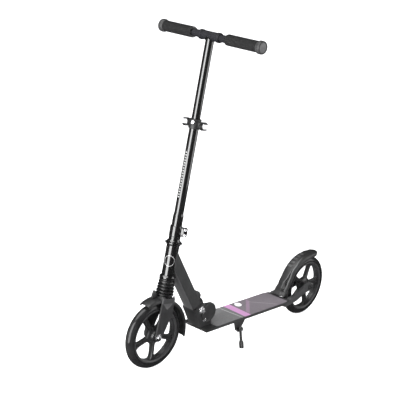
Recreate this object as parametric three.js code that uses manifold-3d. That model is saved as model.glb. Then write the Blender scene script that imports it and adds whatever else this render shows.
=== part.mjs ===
// A folding kick scooter for a child, standing on its kickstand.
// Millimetres, +X forwards, +Y to the rider's left, +Z up. The origin is on the ground under the
// middle of the whole scooter. Most pieces are drawn in the scooter's upright frame, whose origin is
// midway between the wheels on the ground; the whole then leans onto the kickstand.
import * as THREE from 'three';
import { mergeVertices } from 'three/addons/utils/BufferGeometryUtils.js';
import Module from 'manifold-3d';

const wasm = await Module();
wasm.setup();

// ---- driving dimensions ----
const GAP = 0.3; // between pieces that touch
const WHEEL_R = 100;
const TYRE_HALF = 15; // half the tyre's width, and the radius of its round tread
const RIM_R = 81.7;
const AXLE_R = 4;
const HALF_WHEELBASE = 360;
const LEAN = THREE.MathUtils.degToRad(7.66); // onto the kickstand, to the left
const RAKE = THREE.MathUtils.degToRad(6.69); // of the steering axis, top backwards
const STEER = THREE.MathUtils.degToRad(-4); // bar turned slightly right at rest
const AXIS_X = 342.87; // where the steering axis passes the height of the axles
const FORK_OFFSET = 17; // front axle ahead of the steering axis
const AXLE_DROP = -2; // front axle along the steering axis, from the level of the rear axle

const DECK_TOP = 86;
const DECK_HALF = 50;
const DECK_REAR = -205;
const DECK_FRONT = 136;
const TAIL_END = -237; // rear end of the deck's top plate
const TAIL_HALF = 44.5; // and half its width there
const NOSE_FRONT = 181;
const BEAM_HALF = 24.7;
const BEAM_LOW = 70;
const PLATE_LOW = 82.5; // underside of the deck's top plate
const LIP_LOW = 78.3; // lower edge of the deck's side lips

const PIVOT = { x: 185, z: 144 }; // folding pivot
const CHEEK_HALF = 26; // outside of the hinge cheeks
const CHEEK_GAP = 21.5; // inside of the hinge cheeks
const TUBE_HALF = 20.5; // half the down tube's width
const TUBE_DEPTH = 18; // half its depth
const TUBE_ANGLE = THREE.MathUtils.degToRad(34.5); // from upright, top forwards
const TUBE_BASE = { x: 220.6, z: 186.4 };
const TUBE_END = { x: 213.8, z: 148.3, angle: THREE.MathUtils.degToRad(25.2) };

// heights along the steering axis, from the level of the rear axle
const CROWN_LOW = 104.5;
const CROWN_TOP = 113;
const RACE_LOW = 160;
const HEAD_LOW = 177.6;
const HEAD_TOP = 266;
const COLLAR_LOW = 292;
const COLLAR_TOP = 322;
const COLUMN_TOP = 612;
const HOLDER_TOP = 630;
const CLIP_LEVEL = 615;
const BAR_LEVEL = 860;

const STEM_R = 12.2;
const COLUMN_R = 13.5;
const STEERER_R = 12.6;
const HEAD_R = 18.7;
const SLEEVE_HALF = 40;
const BAR_R = 10.4;
const GRIP_R = 15.7;
const GRIP_START = 66;
const GRIP_END = 179;
const CAP_R = 18.6;
const BAR_END = 196;

const BRAKE_PIN = { x: -245, z: 76.5 };
const ARM_IN = 25;
const ARM_OUT = 30;
const KICK_PIVOT = new THREE.Vector3(25, 55, 54);
const KICK_FOOT = new THREE.Vector3(52.7, 88.3, 11.9);
const KICK_AXIS = new THREE.Vector3(0.166, 0.77, 0.616).normalize();
const KICK_HUB = 5; // half the thickness of the leg's hub

const ROUND = 28; // sides of a turned piece
const FINE = 44; // sides of a wheel

// ---- finishes: colour, roughness, metalness ----
const FINISHES = {
  gloss_black: [0x17171a, 0.22, 0.4],
  frame_black: [0x3a3a3c, 0.6, 0.3],
  cast_black: [0x2c2c2e, 0.5, 0.3],
  plastic: [0x1d1d1f, 0.5, 0],
  rubber: [0x161616, 0.85, 0],
  tyre: [0x1b1b1c, 0.4, 0],
  foam: [0x3f3f41, 0.95, 0],
  cap: [0x6c6c6f, 0.7, 0],
  tape: [0x7d7a80, 0.95, 0],
  chrome: [0xd9dbdd, 0.15, 1],
  steel: [0xa9abae, 0.35, 1],
};

function part(name, finish, geometry) {
  const [color, roughness, metalness] = FINISHES[finish];
  const mesh = new THREE.Mesh(geometry, new THREE.MeshStandardMaterial({ color, roughness, metalness }));
  mesh.name = name;
  return mesh;
}

function group(...children) {
  const result = new THREE.Group();
  result.add(...children);
  return result;
}

// ---- shapes ----
// A piece turned about +Z. The profile is [radius, height] pairs, going up the outside.
function turned(profile, sides = ROUND) {
  const points = profile.map(([radius, height]) => new THREE.Vector2(radius, height));
  return new THREE.LatheGeometry(points, sides).rotateX(Math.PI / 2);
}

function ring(outer, inner, low, high, sides = ROUND) {
  return turned([[inner, low], [outer, low], [outer, high], [inner, high], [inner, low]], sides);
}

function rod(radius, low, high, sides = ROUND) {
  return turned([[0, low], [radius, low], [radius, high], [0, high]], sides);
}

function alongY(geometry) {
  return geometry.rotateX(-Math.PI / 2);
}

// Turns and moves a +Z piece so that it starts at a point and runs along a direction.
function aimed(geometry, start, direction) {
  const turn = new THREE.Quaternion().setFromUnitVectors(new THREE.Vector3(0, 0, 1), direction);
  return geometry.applyQuaternion(turn).translate(start.x, start.y, start.z);
}

// A closed outline whose corners are [x, y, cut]: cut is how far back the rounding starts.
function outline(corners, path = new THREE.Shape()) {
  const towards = ([x, y], [toX, toY], distance) => {
    const length = Math.hypot(toX - x, toY - y);
    return [x + ((toX - x) * distance) / length, y + ((toY - y) * distance) / length];
  };
  corners.forEach((corner, i) => {
    const [x, y, cut = 0] = corner;
    const start = towards(corner, corners.at(i - 1), cut);
    const end = towards(corner, corners[(i + 1) % corners.length], cut);
    if (i === 0) path.moveTo(...start);
    else path.lineTo(...start);
    if (cut > 0) path.quadraticCurveTo(x, y, ...end);
  });
  path.closePath();
  return path;
}

function extruded(shape, depth, curveSegments = 5) {
  return new THREE.ExtrudeGeometry(shape, { depth, bevelEnabled: false, curveSegments });
}

// A plate drawn in the side view (x, z), between two distances to the left.
function sidePlate(shape, yLow, yHigh, curveSegments) {
  return extruded(shape, yHigh - yLow, curveSegments).translate(0, 0, -yHigh).rotateX(Math.PI / 2);
}

// A bar whose section is drawn in the front view (y, z), between two distances forwards.
function frontBar(shape, xLow, xHigh) {
  const axes = new THREE.Matrix4().makeBasis(
    new THREE.Vector3(0, 1, 0),
    new THREE.Vector3(0, 0, 1),
    new THREE.Vector3(1, 0, 0),
  );
  return extruded(shape, xHigh - xLow).applyMatrix4(axes).translate(xLow, 0, 0);
}

function box(xLow, xHigh, yLow, yHigh, zLow, zHigh) {
  return new THREE.BoxGeometry(xHigh - xLow, yHigh - yLow, zHigh - zLow).translate(
    (xLow + xHigh) / 2,
    (yLow + yHigh) / 2,
    (zLow + zHigh) / 2,
  );
}

class Helix extends THREE.Curve {
  constructor(radius, low, high, turns) {
    super();
    Object.assign(this, { radius, low, high, turns });
  }

  getPoint(t, target = new THREE.Vector3()) {
    const angle = 2 * Math.PI * this.turns * t;
    const height = THREE.MathUtils.lerp(this.low, this.high, t);
    return target.set(this.radius * Math.cos(angle), this.radius * Math.sin(angle), height);
  }
}

function coil(radius, wire, low, high, turns) {
  const wireSides = 6;
  const stepsPerTurn = 10;
  const section = new THREE.Shape(new THREE.EllipseCurve(0, 0, wire, wire).getPoints(wireSides).slice(1));
  return new THREE.ExtrudeGeometry(section, {
    steps: turns * stepsPerTurn,
    extrudePath: new Helix(radius, low + wire, high - wire, turns),
  });
}

// ---- joining and cutting ----
function solid(geometry) {
  const bare = geometry.clone();
  bare.deleteAttribute('normal');
  bare.deleteAttribute('uv');
  const merged = mergeVertices(bare, 1e-4);
  const corners = Array.from(merged.index.array);
  const kept = [];
  for (let i = 0; i < corners.length; i += 3) {
    const [a, b, c] = corners.slice(i, i + 3);
    if (a !== b && b !== c && c !== a) kept.push(a, b, c);
  }
  return new wasm.Manifold(
    new wasm.Mesh({
      numProp: 3,
      vertProperties: merged.attributes.position.array,
      triVerts: Uint32Array.from(kept),
    }),
  );
}

function surface(manifold) {
  const mesh = manifold.getMesh();
  const geometry = new THREE.BufferGeometry();
  geometry.setAttribute('position', new THREE.BufferAttribute(mesh.vertProperties, 3));
  geometry.setIndex(new THREE.BufferAttribute(mesh.triVerts, 1));
  geometry.computeVertexNormals();
  return geometry;
}

function join(...geometries) {
  return surface(geometries.map(solid).reduce((whole, piece) => whole.add(piece)));
}

function cut(geometry, ...tools) {
  return surface(tools.map(solid).reduce((whole, tool) => whole.subtract(tool), solid(geometry)));
}

function shared(geometry, other) {
  return surface(solid(geometry).intersect(solid(other)));
}

// ---- wheels: drawn about the Y axis, with the axle at the origin ----
const SPOKES = 5;
const SPOKE_HALF = 7.5;
const WINDOW_IN = 25;
const WINDOW_OUT = 74.5;
const HUB_R = 17;
const HUB_HALF = 17;
const BEARING_R = 11;
const BEARING_WIDTH = 7;

function tyre() {
  const arc = THREE.MathUtils.degToRad(100);
  const steps = 9;
  const centre = WHEEL_R - TYRE_HALF;
  const tread = Array.from({ length: steps + 1 }, (_, i) => {
    const angle = THREE.MathUtils.lerp(-arc, arc, i / steps);
    return [centre + TYRE_HALF * Math.cos(angle), TYRE_HALF * Math.sin(angle)];
  });
  const seat = RIM_R + GAP;
  return alongY(turned([...tread, [seat, 11], [seat, -11], tread[0]], FINE));
}

// The opening between two spokes: straight sides beside the spokes and a round outer edge.
function rimWindow(angle) {
  const pitch = (2 * Math.PI) / SPOKES;
  const at = (radius, turn, roundness) => [radius * Math.cos(turn), radius * Math.sin(turn), roundness];
  const first = (radius) => angle + Math.asin(SPOKE_HALF / radius);
  const last = (radius) => angle + pitch - Math.asin(SPOKE_HALF / radius);
  const middle = angle + pitch / 2;
  const spread = pitch * 0.14;
  return outline(
    [
      at(WINDOW_IN, first(WINDOW_IN), 5),
      at(WINDOW_OUT, first(WINDOW_OUT), 21),
      at(WINDOW_OUT + 1, middle - spread),
      at(WINDOW_OUT + 1, middle + spread),
      at(WINDOW_OUT, last(WINDOW_OUT), 21),
      at(WINDOW_IN, last(WINDOW_IN), 5),
    ],
    new THREE.Path(),
  );
}

function rim(phase) {
  const web = new THREE.Shape(new THREE.EllipseCurve(0, 0, RIM_R - 4, RIM_R - 4).getPoints(FINE).slice(1));
  for (let i = 0; i < SPOKES; i += 1) web.holes.push(rimWindow(phase + (i * 2 * Math.PI) / SPOKES));
  const half = 5.5;
  const spokes = new THREE.ExtrudeGeometry(web, { depth: 2 * half, bevelEnabled: false, curveSegments: 4 });
  spokes.translate(0, 0, -half);
  const body = join(spokes.rotateX(Math.PI / 2), alongY(ring(RIM_R, RIM_R - 6, -12, 12, FINE)),
    alongY(rod(HUB_R, -HUB_HALF, HUB_HALF, 24)));
  const seats = [-1, 1].map((side) => {
    const outer = side * (HUB_HALF + 1);
    const inner = side * (HUB_HALF - BEARING_WIDTH - GAP);
    return alongY(rod(BEARING_R + GAP, Math.min(outer, inner), Math.max(outer, inner), 20));
  });
  return cut(body, ...seats, alongY(rod(8, -HUB_HALF, HUB_HALF, 20)));
}

function wheel(place, phase) {
  const bearing = () => ring(BEARING_R, AXLE_R + GAP, 0, BEARING_WIDTH, 20);
  return group(
    part(`${place}_tyre`, 'tyre', tyre()),
    part(`${place}_rim`, 'plastic', rim(phase)),
    part(`${place}_bearing_left`, 'steel', alongY(bearing()).translate(0, HUB_HALF - BEARING_WIDTH, 0)),
    part(`${place}_bearing_right`, 'steel', alongY(bearing()).translate(0, -HUB_HALF, 0)),
  );
}

// An axle bolt with its head on the left and its nut on the right, clamping a frame of some width.
function axle(place, half) {
  const head = 5.5;
  const hex = 7.4;
  const bolt = join(rod(AXLE_R, -half - 8, half + 1, 16), rod(hex, half + GAP, half + head, 6));
  const nut = cut(rod(hex, -half - 6, -half - GAP, 6), rod(AXLE_R + GAP, -half - 9, -half + 1, 16));
  return group(
    part(`${place}_axle_bolt`, place === 'front' ? 'chrome' : 'steel', alongY(bolt)),
    part(`${place}_axle_nut`, 'steel', alongY(nut)),
  );
}

// ---- deck ----
function deckBoard() {
  const section = outline([
    [-DECK_HALF, LIP_LOW, 1], [-DECK_HALF, DECK_TOP, 2], [DECK_HALF, DECK_TOP, 2], [DECK_HALF, LIP_LOW, 1],
    [DECK_HALF - 3, LIP_LOW], [DECK_HALF - 3, PLATE_LOW], [BEAM_HALF, PLATE_LOW], [BEAM_HALF, BEAM_LOW, 2],
    [-BEAM_HALF, BEAM_LOW, 2], [-BEAM_HALF, PLATE_LOW], [-DECK_HALF + 3, PLATE_LOW],
    [-DECK_HALF + 3, LIP_LOW],
  ]);
  const wall = 2.5;
  const inside = outline([
    [-BEAM_HALF + wall, BEAM_LOW + wall], [BEAM_HALF - wall, BEAM_LOW + wall],
    [BEAM_HALF - wall, PLATE_LOW], [-BEAM_HALF + wall, PLATE_LOW],
  ], new THREE.Path());
  section.holes.push(inside);
  const bores = FRAME_BOLTS.map((x) => alongY(rod(3.3, -40, 40, 12)).translate(x, 0, FRAME_BOLT_Z));
  return cut(join(frontBar(section, DECK_REAR, DECK_FRONT), deckTail()), ...bores);
}

// The top plate runs on behind the beam and narrows to the rear arms.
function deckTail() {
  const plan = outline([
    [DECK_REAR + 4, -DECK_HALF], [DECK_REAR + 4, DECK_HALF], [DECK_REAR - 4, DECK_HALF, 3],
    [TAIL_END, TAIL_HALF, 3], [TAIL_END, -TAIL_HALF, 3], [DECK_REAR - 4, -DECK_HALF, 3],
  ]);
  return extruded(plan, DECK_TOP - PLATE_LOW).translate(0, 0, PLATE_LOW);
}

const FRAME_BOLTS = [-165, -193];
const FRAME_BOLT_Z = 76;

function frameBolt() {
  const end = ARM_OUT + GAP;
  return alongY(join(rod(3, -end - 3, end + 1, 12), rod(5.5, end, end + 4, 6), rod(5.5, -end - 4, -end, 6)));
}

function gripTape() {
  const low = DECK_TOP + GAP;
  const half = DECK_HALF - 2.5;
  const sheet = outline([
    [TAIL_END + 16, -TAIL_HALF, 3], [DECK_REAR - 4, -half, 4], [132, -half, 8], [132, half, 8],
    [DECK_REAR - 4, half, 4], [TAIL_END + 16, TAIL_HALF, 3],
  ]);
  return extruded(sheet, 1).translate(0, 0, low);
}

// A cutter whose face lies on three points, seen anticlockwise from the side that is taken away.
function planeCutter(a, b, c) {
  const normal = new THREE.Plane().setFromCoplanarPoints(a, b, c).normal;
  const size = 90;
  return aimed(box(-size, size, -size, size, 0, size), a, normal);
}

// The casting that closes the deck's front end and carries the folding hinge.
function deckNose() {
  const low = 71;
  const plan = outline([
    [DECK_FRONT + GAP, -DECK_HALF, 1], [NOSE_FRONT - 6, -DECK_HALF, 4], [NOSE_FRONT - 1, -24, 8],
    [NOSE_FRONT - 1, 24, 8], [NOSE_FRONT, DECK_HALF, 3], [DECK_FRONT + GAP, DECK_HALF, 1],
  ]);
  const slab = extruded(plan, DECK_TOP - LIP_LOW).translate(0, 0, LIP_LOW);
  const belly = sidePlate(outline([
    [DECK_FRONT + GAP, low, 1], [158, low, 8], [177, LIP_LOW + 1, 1], [177, LIP_LOW + 4],
    [DECK_FRONT + GAP, 84],
  ]), -BEAM_HALF, BEAM_HALF);
  const facets = [1, -1].map((side) => {
    const start = new THREE.Vector3(DECK_FRONT + 3, side * DECK_HALF, DECK_TOP);
    const inner = new THREE.Vector3(NOSE_FRONT - 12, side * CHEEK_HALF, DECK_TOP);
    const corner = new THREE.Vector3(NOSE_FRONT, side * DECK_HALF, LIP_LOW + 1.5);
    return side > 0 ? planeCutter(start, inner, corner) : planeCutter(start, corner, inner);
  });
  return cut(join(slab, belly), ...facets);
}

function deck() {
  const tapeless = group(
    part('deck_board', 'frame_black', deckBoard()),
    part('deck_nose', 'cast_black', deckNose()),
    part('grip_tape', 'tape', gripTape()),
  );
  FRAME_BOLTS.forEach((x, i) => {
    const bolt = part(`frame_bolt_${i + 1}`, 'steel', frameBolt());
    bolt.position.set(x, 0, FRAME_BOLT_Z);
    tapeless.add(bolt);
  });
  return tapeless;
}

// ---- folding hinge ----
// One cast cheek in side view: a straight front edge and a round back.
function cheekShape() {
  const centre = { x: 153, z: 131, r: 30 };
  const shape = new THREE.Shape();
  shape.moveTo(136, DECK_TOP + GAP);
  shape.lineTo(NOSE_FRONT, DECK_TOP + GAP);
  shape.lineTo(NOSE_FRONT + 1, 93);
  shape.lineTo(214.4, 147);
  shape.lineTo(178, 163.6);
  shape.absarc(centre.x, centre.z, centre.r, 1.5, 4.1);
  return shape;
}

function hingeBracket() {
  const low = DECK_TOP + GAP;
  const cheeks = [[CHEEK_GAP, CHEEK_HALF], [-CHEEK_HALF, -CHEEK_GAP]].map(([from, to]) =>
    sidePlate(cheekShape(), from, to, 12));
  const wall = outline([[NOSE_FRONT - 6, low], [NOSE_FRONT, low], [NOSE_FRONT + 1, 93], [214.4, 147], [210.6, 148.8],
    [176, 95]]);
  const floor = box(136, NOSE_FRONT - 3, -CHEEK_HALF, CHEEK_HALF, low, low + 4);
  const body = join(...cheeks, sidePlate(wall, -CHEEK_HALF, CHEEK_HALF), floor);
  const bore = alongY(rod(5.3, -40, 40, 16)).translate(PIVOT.x, 0, PIVOT.z);
  const lockBore = alongY(rod(3.8, -40, 40, 12)).translate(LOCK.x, 0, LOCK.z);
  return cut(body, bore, lockBore);
}

const LOCK = { x: 169, z: 110.5 };

// A cross bolt through both cheeks, with a socket in its head and a flat nut behind.
function crossBolt(shank, head, rise) {
  const left = CHEEK_HALF + GAP;
  const body = join(
    rod(shank, -left - 2, left + 1, 16),
    turned([[0, left], [head, left], [head, left + rise - 1.2], [head - 1.2, left + rise], [0, left + rise]], 20),
    rod(head, -left - 4, -left, 6),
  );
  return alongY(cut(body, rod(head * 0.45, left + rise - 3, left + rise + 1, 6)));
}

function tubeFrame(geometry) {
  return geometry.rotateY(TUBE_ANGLE).translate(TUBE_BASE.x, 0, TUBE_BASE.z);
}

function onAxis(geometry) {
  return geometry.rotateY(-RAKE).translate(AXIS_X, 0, WHEEL_R);
}

function belowTubeEnd(lift) {
  const block = box(-90, 90, -60, 60, -90, lift);
  return block.rotateY(TUBE_END.angle).translate(TUBE_END.x, 0, TUBE_END.z);
}

function downTube() {
  const wall = 3;
  const section = (x, y, round) => [[-x, -y, round], [x, -y, round], [x, y, round], [-x, y, round]];
  const shape = outline(section(TUBE_DEPTH, TUBE_HALF, 5));
  shape.holes.push(outline(section(TUBE_DEPTH - wall, TUBE_HALF - wall, 3), new THREE.Path()));
  const blank = tubeFrame(extruded(shape, 260, 3).translate(0, 0, -70));
  const head = onAxis(rod(HEAD_R + GAP, 120, 340));
  const cup = onAxis(rod(23 + GAP, 160, HEAD_LOW));
  const past = onAxis(box(0, 120, -60, 60, 120, 340));
  return cut(blank, head, cup, past, belowTubeEnd(1));
}

// The casting in the tube's foot that turns between the cheeks.
function knuckle() {
  const shape = new THREE.Shape();
  shape.moveTo(206, 152.2);
  shape.lineTo(179, 164.6);
  shape.absarc(PIVOT.x, PIVOT.z, 16.5, 1.9, 6.0);
  const half = CHEEK_GAP - 0.5;
  const bore = alongY(rod(5.3, -40, 40, 16)).translate(PIVOT.x, 0, PIVOT.z);
  return cut(sidePlate(shape, -half, half, 10), bore);
}

// A thumb catch on the back of the tube's foot.
function releaseCatch() {
  const shape = outline([
    [-18.8, -35, 1], [-18.8, 0, 1], [-25, 1, 4], [-35.5, -9, 7], [-36, -28, 6], [-26, -34.5, 3],
  ]);
  const half = 10;
  return tubeFrame(sidePlate(shape, -half, half));
}

function frontFrame() {
  return group(
    part('down_tube', 'frame_black', downTube()),
    part('hinge_knuckle', 'cast_black', knuckle()),
    part('release_catch', 'plastic', releaseCatch()),
    part('head_tube', 'gloss_black', onAxis(ring(HEAD_R, 16.7, HEAD_LOW, HEAD_TOP))),
    part('headset_cup_lower', 'gloss_black', onAxis(turned([
      [16.7, 167.6], [23, 167.6], [23, 173], [20.5, HEAD_LOW - GAP], [16.7, HEAD_LOW - GAP], [16.7, 167.6],
    ]))),
    part('headset_cup_upper', 'gloss_black', onAxis(turned([
      [16.7, HEAD_TOP + GAP], [20.5, HEAD_TOP + GAP], [24.5, 270], [24.5, 275], [16.7, 275],
      [16.7, HEAD_TOP + GAP],
    ]))),
  );
}

// ---- steering column: drawn on the steering axis, +Z up along it ----
const EARS_TURN = THREE.MathUtils.degToRad(131); // the clamp's ears point back and to the left
const CLAMP_BOLTS = { upper: 315, lower: 300 };
const EAR_REACH = 27;

function collarClamp() {
  const ears = box(14, 33, -7, 7, COLLAR_LOW + 2, COLLAR_TOP - 2);
  const slot = box(10, 40, -1.5, 1.5, COLLAR_LOW - 1, COLLAR_TOP + 1);
  const bores = Object.values(CLAMP_BOLTS).map((z) => alongY(rod(2.8, -20, 20, 12)).translate(EAR_REACH, 0, z));
  const band = join(ring(17.6, 15.6, COLLAR_LOW, COLLAR_TOP), ears);
  return cut(band, rod(15.3, 280, 330), slot, ...bores).rotateZ(EARS_TURN);
}

// A clamp bolt across the ears, its head on the side that faces forwards and left.
function clampBolt(level) {
  const body = join(rod(2.5, -9, 11, 12), rod(4.6, -11.5, -7 - GAP, 16), rod(4.6, 7 + GAP, 10.5, 6));
  const bolt = cut(body, rod(2, -12.5, -9, 6));
  return alongY(bolt).translate(EAR_REACH, 0, level).rotateZ(EARS_TURN);
}

function clip(side) {
  const centre = side * 34;
  const inner = 9.4;
  const outer = 11.9;
  const open = THREE.MathUtils.degToRad(48);
  const from = side > 0 ? open : Math.PI + open;
  const shape = new THREE.Shape();
  shape.absarc(centre, CLIP_LEVEL, outer, from, from + 2 * (Math.PI - open), false);
  shape.absarc(centre, CLIP_LEVEL, inner, from + 2 * (Math.PI - open), from, true);
  const bridge = outline([[side * 14, 606, 1], [side * 25.4, 609], [side * 25.4, 621], [side * 14, 624, 1]]);
  return [frontBar(shape, -7, 7), frontBar(bridge, -7, 7)];
}

const PIN_TURN = THREE.MathUtils.degToRad(25);
const PIN_LEVEL = 621;

// The ring on top of the column: it guides the stem and has a clip on each side for a grip.
function columnHolder() {
  const sleeve = turned([
    [13.8, 602], [17, 602], [17.8, 612], [16.9, HOLDER_TOP], [STEM_R + 0.4, HOLDER_TOP],
    [STEM_R + 0.4, COLUMN_TOP + GAP], [13.8, COLUMN_TOP + GAP], [13.8, 602],
  ]);
  const pinBore = aimed(rod(3.6, 8, 40, 12), new THREE.Vector3(0, 0, PIN_LEVEL), pinDirection());
  const inside = rod(STEM_R + 0.4, 590, 640);
  const belowStep = rod(13.8, 590, COLUMN_TOP + GAP);
  return cut(join(sleeve, ...clip(1), ...clip(-1)), inside, belowStep, pinBore);
}

function pinDirection() {
  return new THREE.Vector3(Math.cos(PIN_TURN), Math.sin(PIN_TURN), 0);
}

// The sprung pin that holds the stem's height: its knob is pulled outwards.
function heightPin() {
  const profile = [[0, 12.8], [3.2, 12.8], [3.2, 17.9], [5.6, 17.9], [5.6, 21], [4.2, 22.5], [0, 22.5]];
  return aimed(turned(profile, 16), new THREE.Vector3(0, 0, PIN_LEVEL), pinDirection());
}

function columnParts() {
  const inner = 10.5;
  const race = 20;
  return group(
    part('steerer_tube', 'steel', turned([
      [inner, 150], [STEERER_R, 150], [STEERER_R, RACE_LOW], [race, RACE_LOW], [race, RACE_LOW + 6],
      [STEERER_R, RACE_LOW + 6], [STEERER_R, COLLAR_TOP], [inner, COLLAR_TOP], [inner, 150],
    ])),
    part('headset_bearing_lower', 'steel', ring(16.4, STEERER_R + GAP, 168.5, 176, 24)),
    part('headset_bearing_upper', 'steel', ring(16.4, STEERER_R + GAP, 267, 274.5, 24)),
    part('headset_cap', 'plastic', turned([
      [STEERER_R + GAP, 275.6], [20, 275.6], [17.2, 283], [16.6, COLLAR_LOW - GAP],
      [STEERER_R + GAP, COLLAR_LOW - GAP], [STEERER_R + GAP, 275.6],
    ])),
    part('collar_clamp', 'gloss_black', collarClamp()),
    part('clamp_bolt_upper', 'chrome', clampBolt(CLAMP_BOLTS.upper)),
    part('clamp_bolt_lower', 'chrome', clampBolt(CLAMP_BOLTS.lower)),
    part('column_tube', 'gloss_black', turned([
      [STEERER_R + GAP, COLLAR_LOW], [15, COLLAR_LOW], [15, 353], [COLUMN_R, 357], [COLUMN_R, COLUMN_TOP],
      [STEM_R + GAP, COLUMN_TOP], [STEM_R + GAP, 330], [STEERER_R + GAP, 326], [STEERER_R + GAP, COLLAR_LOW],
    ])),
    part('column_holder', 'plastic', columnHolder()),
    part('height_pin', 'chrome', heightPin()),
  );
}

// ---- stem and handlebar ----
function stemTube() {
  const blank = ring(STEM_R, STEM_R - 1.5, 525, BAR_LEVEL);
  return cut(blank, alongY(rod(13, -30, 30)).translate(0, 0, BAR_LEVEL));
}

function barSleeve() {
  const radius = 12.7;
  const collar = 14.2;
  const half = SLEEVE_HALF;
  const bore = BAR_R + GAP;
  return alongY(turned([
    [bore, -half], [radius, -half], [radius, -half + 2], [collar, -half + 3], [collar, -half + 9],
    [radius, -half + 10], [radius, half - 10], [collar, half - 9], [collar, half - 3], [radius, half - 2],
    [radius, half], [bore, half], [bore, -half],
  ])).translate(0, 0, BAR_LEVEL);
}

function handle(sideName) {
  const side = sideName === 'left' ? 1 : -1;
  const bar = ring(BAR_R, BAR_R - 1.6, 3, 190);
  const foam = turned([
    [BAR_R + GAP, GRIP_START], [GRIP_R - 1.5, GRIP_START], [GRIP_R, GRIP_START + 1.5], [GRIP_R, GRIP_END],
    [BAR_R + GAP, GRIP_END], [BAR_R + GAP, GRIP_START],
  ]);
  const cap = turned([
    [0, 190.4], [BAR_R + GAP, 190.4], [BAR_R + GAP, GRIP_END + GAP], [17, GRIP_END + GAP],
    [CAP_R, GRIP_END + 4], [CAP_R, BAR_END - 4], [15.5, BAR_END], [0, BAR_END],
  ]);
  const place = (geometry) => {
    const turnedOut = side > 0 ? alongY(geometry) : geometry.rotateX(Math.PI / 2);
    return turnedOut.translate(0, 0, BAR_LEVEL);
  };
  return group(
    part(`grip_bar_${sideName}`, 'gloss_black', place(bar)),
    part(`grip_foam_${sideName}`, 'foam', place(foam)),
    part(`grip_cap_${sideName}`, 'cap', place(cap)),
  );
}

function stemParts() {
  return group(
    part('stem_tube', 'gloss_black', stemTube()),
    part('bar_sleeve', 'frame_black', barSleeve()),
    handle('left'),
    handle('right'),
  );
}

// ---- sprung front fork ----
function fork() {
  const inner = 20;
  const outer = 26;
  const legShape = outline([
    [-23, CROWN_TOP, 3], [28, CROWN_TOP, 3], [28, 60, 6], [30.3, AXLE_DROP - 13.3, 13],
    [3.7, AXLE_DROP - 13.3, 12], [-2.5, 13, 8], [-17, 54, 10], [-21, 90, 6],
  ]);
  const legs = [[inner, outer], [-outer, -inner]].map(([from, to]) => sidePlate(legShape, from, to));
  const bridge = sidePlate(outline([[-23, CROWN_LOW, 1], [28, CROWN_LOW, 1], [28, CROWN_TOP, 3], [-23, CROWN_TOP, 3]]),
    -outer, outer);
  const bosses = [[17.6, inner + 1], [-inner - 1, -17.6]].map(([from, to]) =>
    alongY(rod(8, from, to, 16)).translate(FORK_OFFSET, 0, AXLE_DROP));
  const bore = alongY(rod(AXLE_R + GAP, -40, 40, 16)).translate(FORK_OFFSET, 0, AXLE_DROP);
  // Four raised corners stand round the foot of the boot.
  const corners = cut(box(-21, 26, -24.5, 24.5, CROWN_TOP - 2, CROWN_TOP + 6), rod(27.5, CROWN_TOP, CROWN_TOP + 8, 32));
  return cut(join(bridge, ...legs, ...bosses, corners), bore);
}

const BOOT_RIBS = 5;

// Rubber bellows round the spring, from the crown to the crown race.
function boot() {
  const low = CROWN_TOP + GAP;
  const high = 166.5;
  const wall = 1.8;
  const outside = [[24, low]];
  for (let i = 0; i < BOOT_RIBS; i += 1) {
    const pitch = (high - low - 6) / BOOT_RIBS;
    const base = low + 3 + i * pitch;
    outside.push([20.8, base], [26.6, base + pitch * 0.4], [26.6, base + pitch * 0.6]);
  }
  outside.push([22.6, high - 4], [23, high]);
  const inside = outside.map(([r, z]) => [r - wall, z]).reverse();
  return turned([...outside, ...inside, outside[0]], 22);
}

// The section of a mudguard: a crown with turned-down edges. First axis across, second outwards.
function guardSection(half, crown, drop) {
  const wall = 2.6;
  return outline([
    [-half, -drop], [-half + 0.8, crown - 3.5], [-half + 6, crown], [half - 6, crown], [half - 0.8, crown - 3.5],
    [half, -drop], [half - wall, -drop], [half - wall - 0.8, crown - 5], [half - 7, crown - wall],
    [-half + 7, crown - wall], [-half + wall + 0.8, crown - 5], [-half + wall, -drop],
  ]);
}

// A mudguard along a smooth path of [radius, degrees] about the wheel's centre.
function guard(path, section, steps) {
  const points = path.map(([radius, degrees]) => {
    const angle = THREE.MathUtils.degToRad(degrees);
    return new THREE.Vector3(radius * Math.cos(angle), 0, radius * Math.sin(angle));
  });
  return new THREE.ExtrudeGeometry(section, {
    steps,
    extrudePath: new THREE.CatmullRomCurve3(points, false, 'centripetal'),
  });
}

function guardVisor() {
  const shell = guard([[107.5, 59.5], [109.5, 70], [111, 83]], guardSection(21, 2, 8), 8);
  shell.translate(FORK_OFFSET, 0, AXLE_DROP);
  const fin = sidePlate(outline([[28.4, 106, 1], [40, 106], [49, 112], [46, 134, 3], [40, 134, 2], [33, 120, 4],
    [28.4, 117, 1]]), -3, 3);
  return join(shell, fin);
}

function guardFlap() {
  const path = [[111, 114], [111, 132], [111.5, 150], [111.5, 168], [112.5, 185]];
  const shell = guard(path, guardSection(21, 2, 6), 14);
  shell.translate(FORK_OFFSET, 0, AXLE_DROP);
  const tab = box(-31, -23.5, -8, 8, 101, 112);
  return join(shell, tab);
}

function forkParts() {
  const axleGroup = axle('front', 26);
  axleGroup.position.set(FORK_OFFSET, 0, AXLE_DROP);
  const wheelGroup = wheel('front', THREE.MathUtils.degToRad(48));
  wheelGroup.position.set(FORK_OFFSET, 0, AXLE_DROP);
  return group(
    part('fork', 'cast_black', fork()),
    part('fork_stem', 'steel', ring(10.2, 8, CROWN_TOP + GAP, 300, 24)),
    part('suspension_spring', 'steel', coil(15, 1.9, CROWN_TOP + 1, RACE_LOW - 1, 5)),
    part('suspension_boot', 'rubber', boot()),
    part('front_guard_visor', 'plastic', guardVisor()),
    part('front_guard_flap', 'plastic', guardFlap()),
    axleGroup,
    wheelGroup,
  );
}

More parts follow.
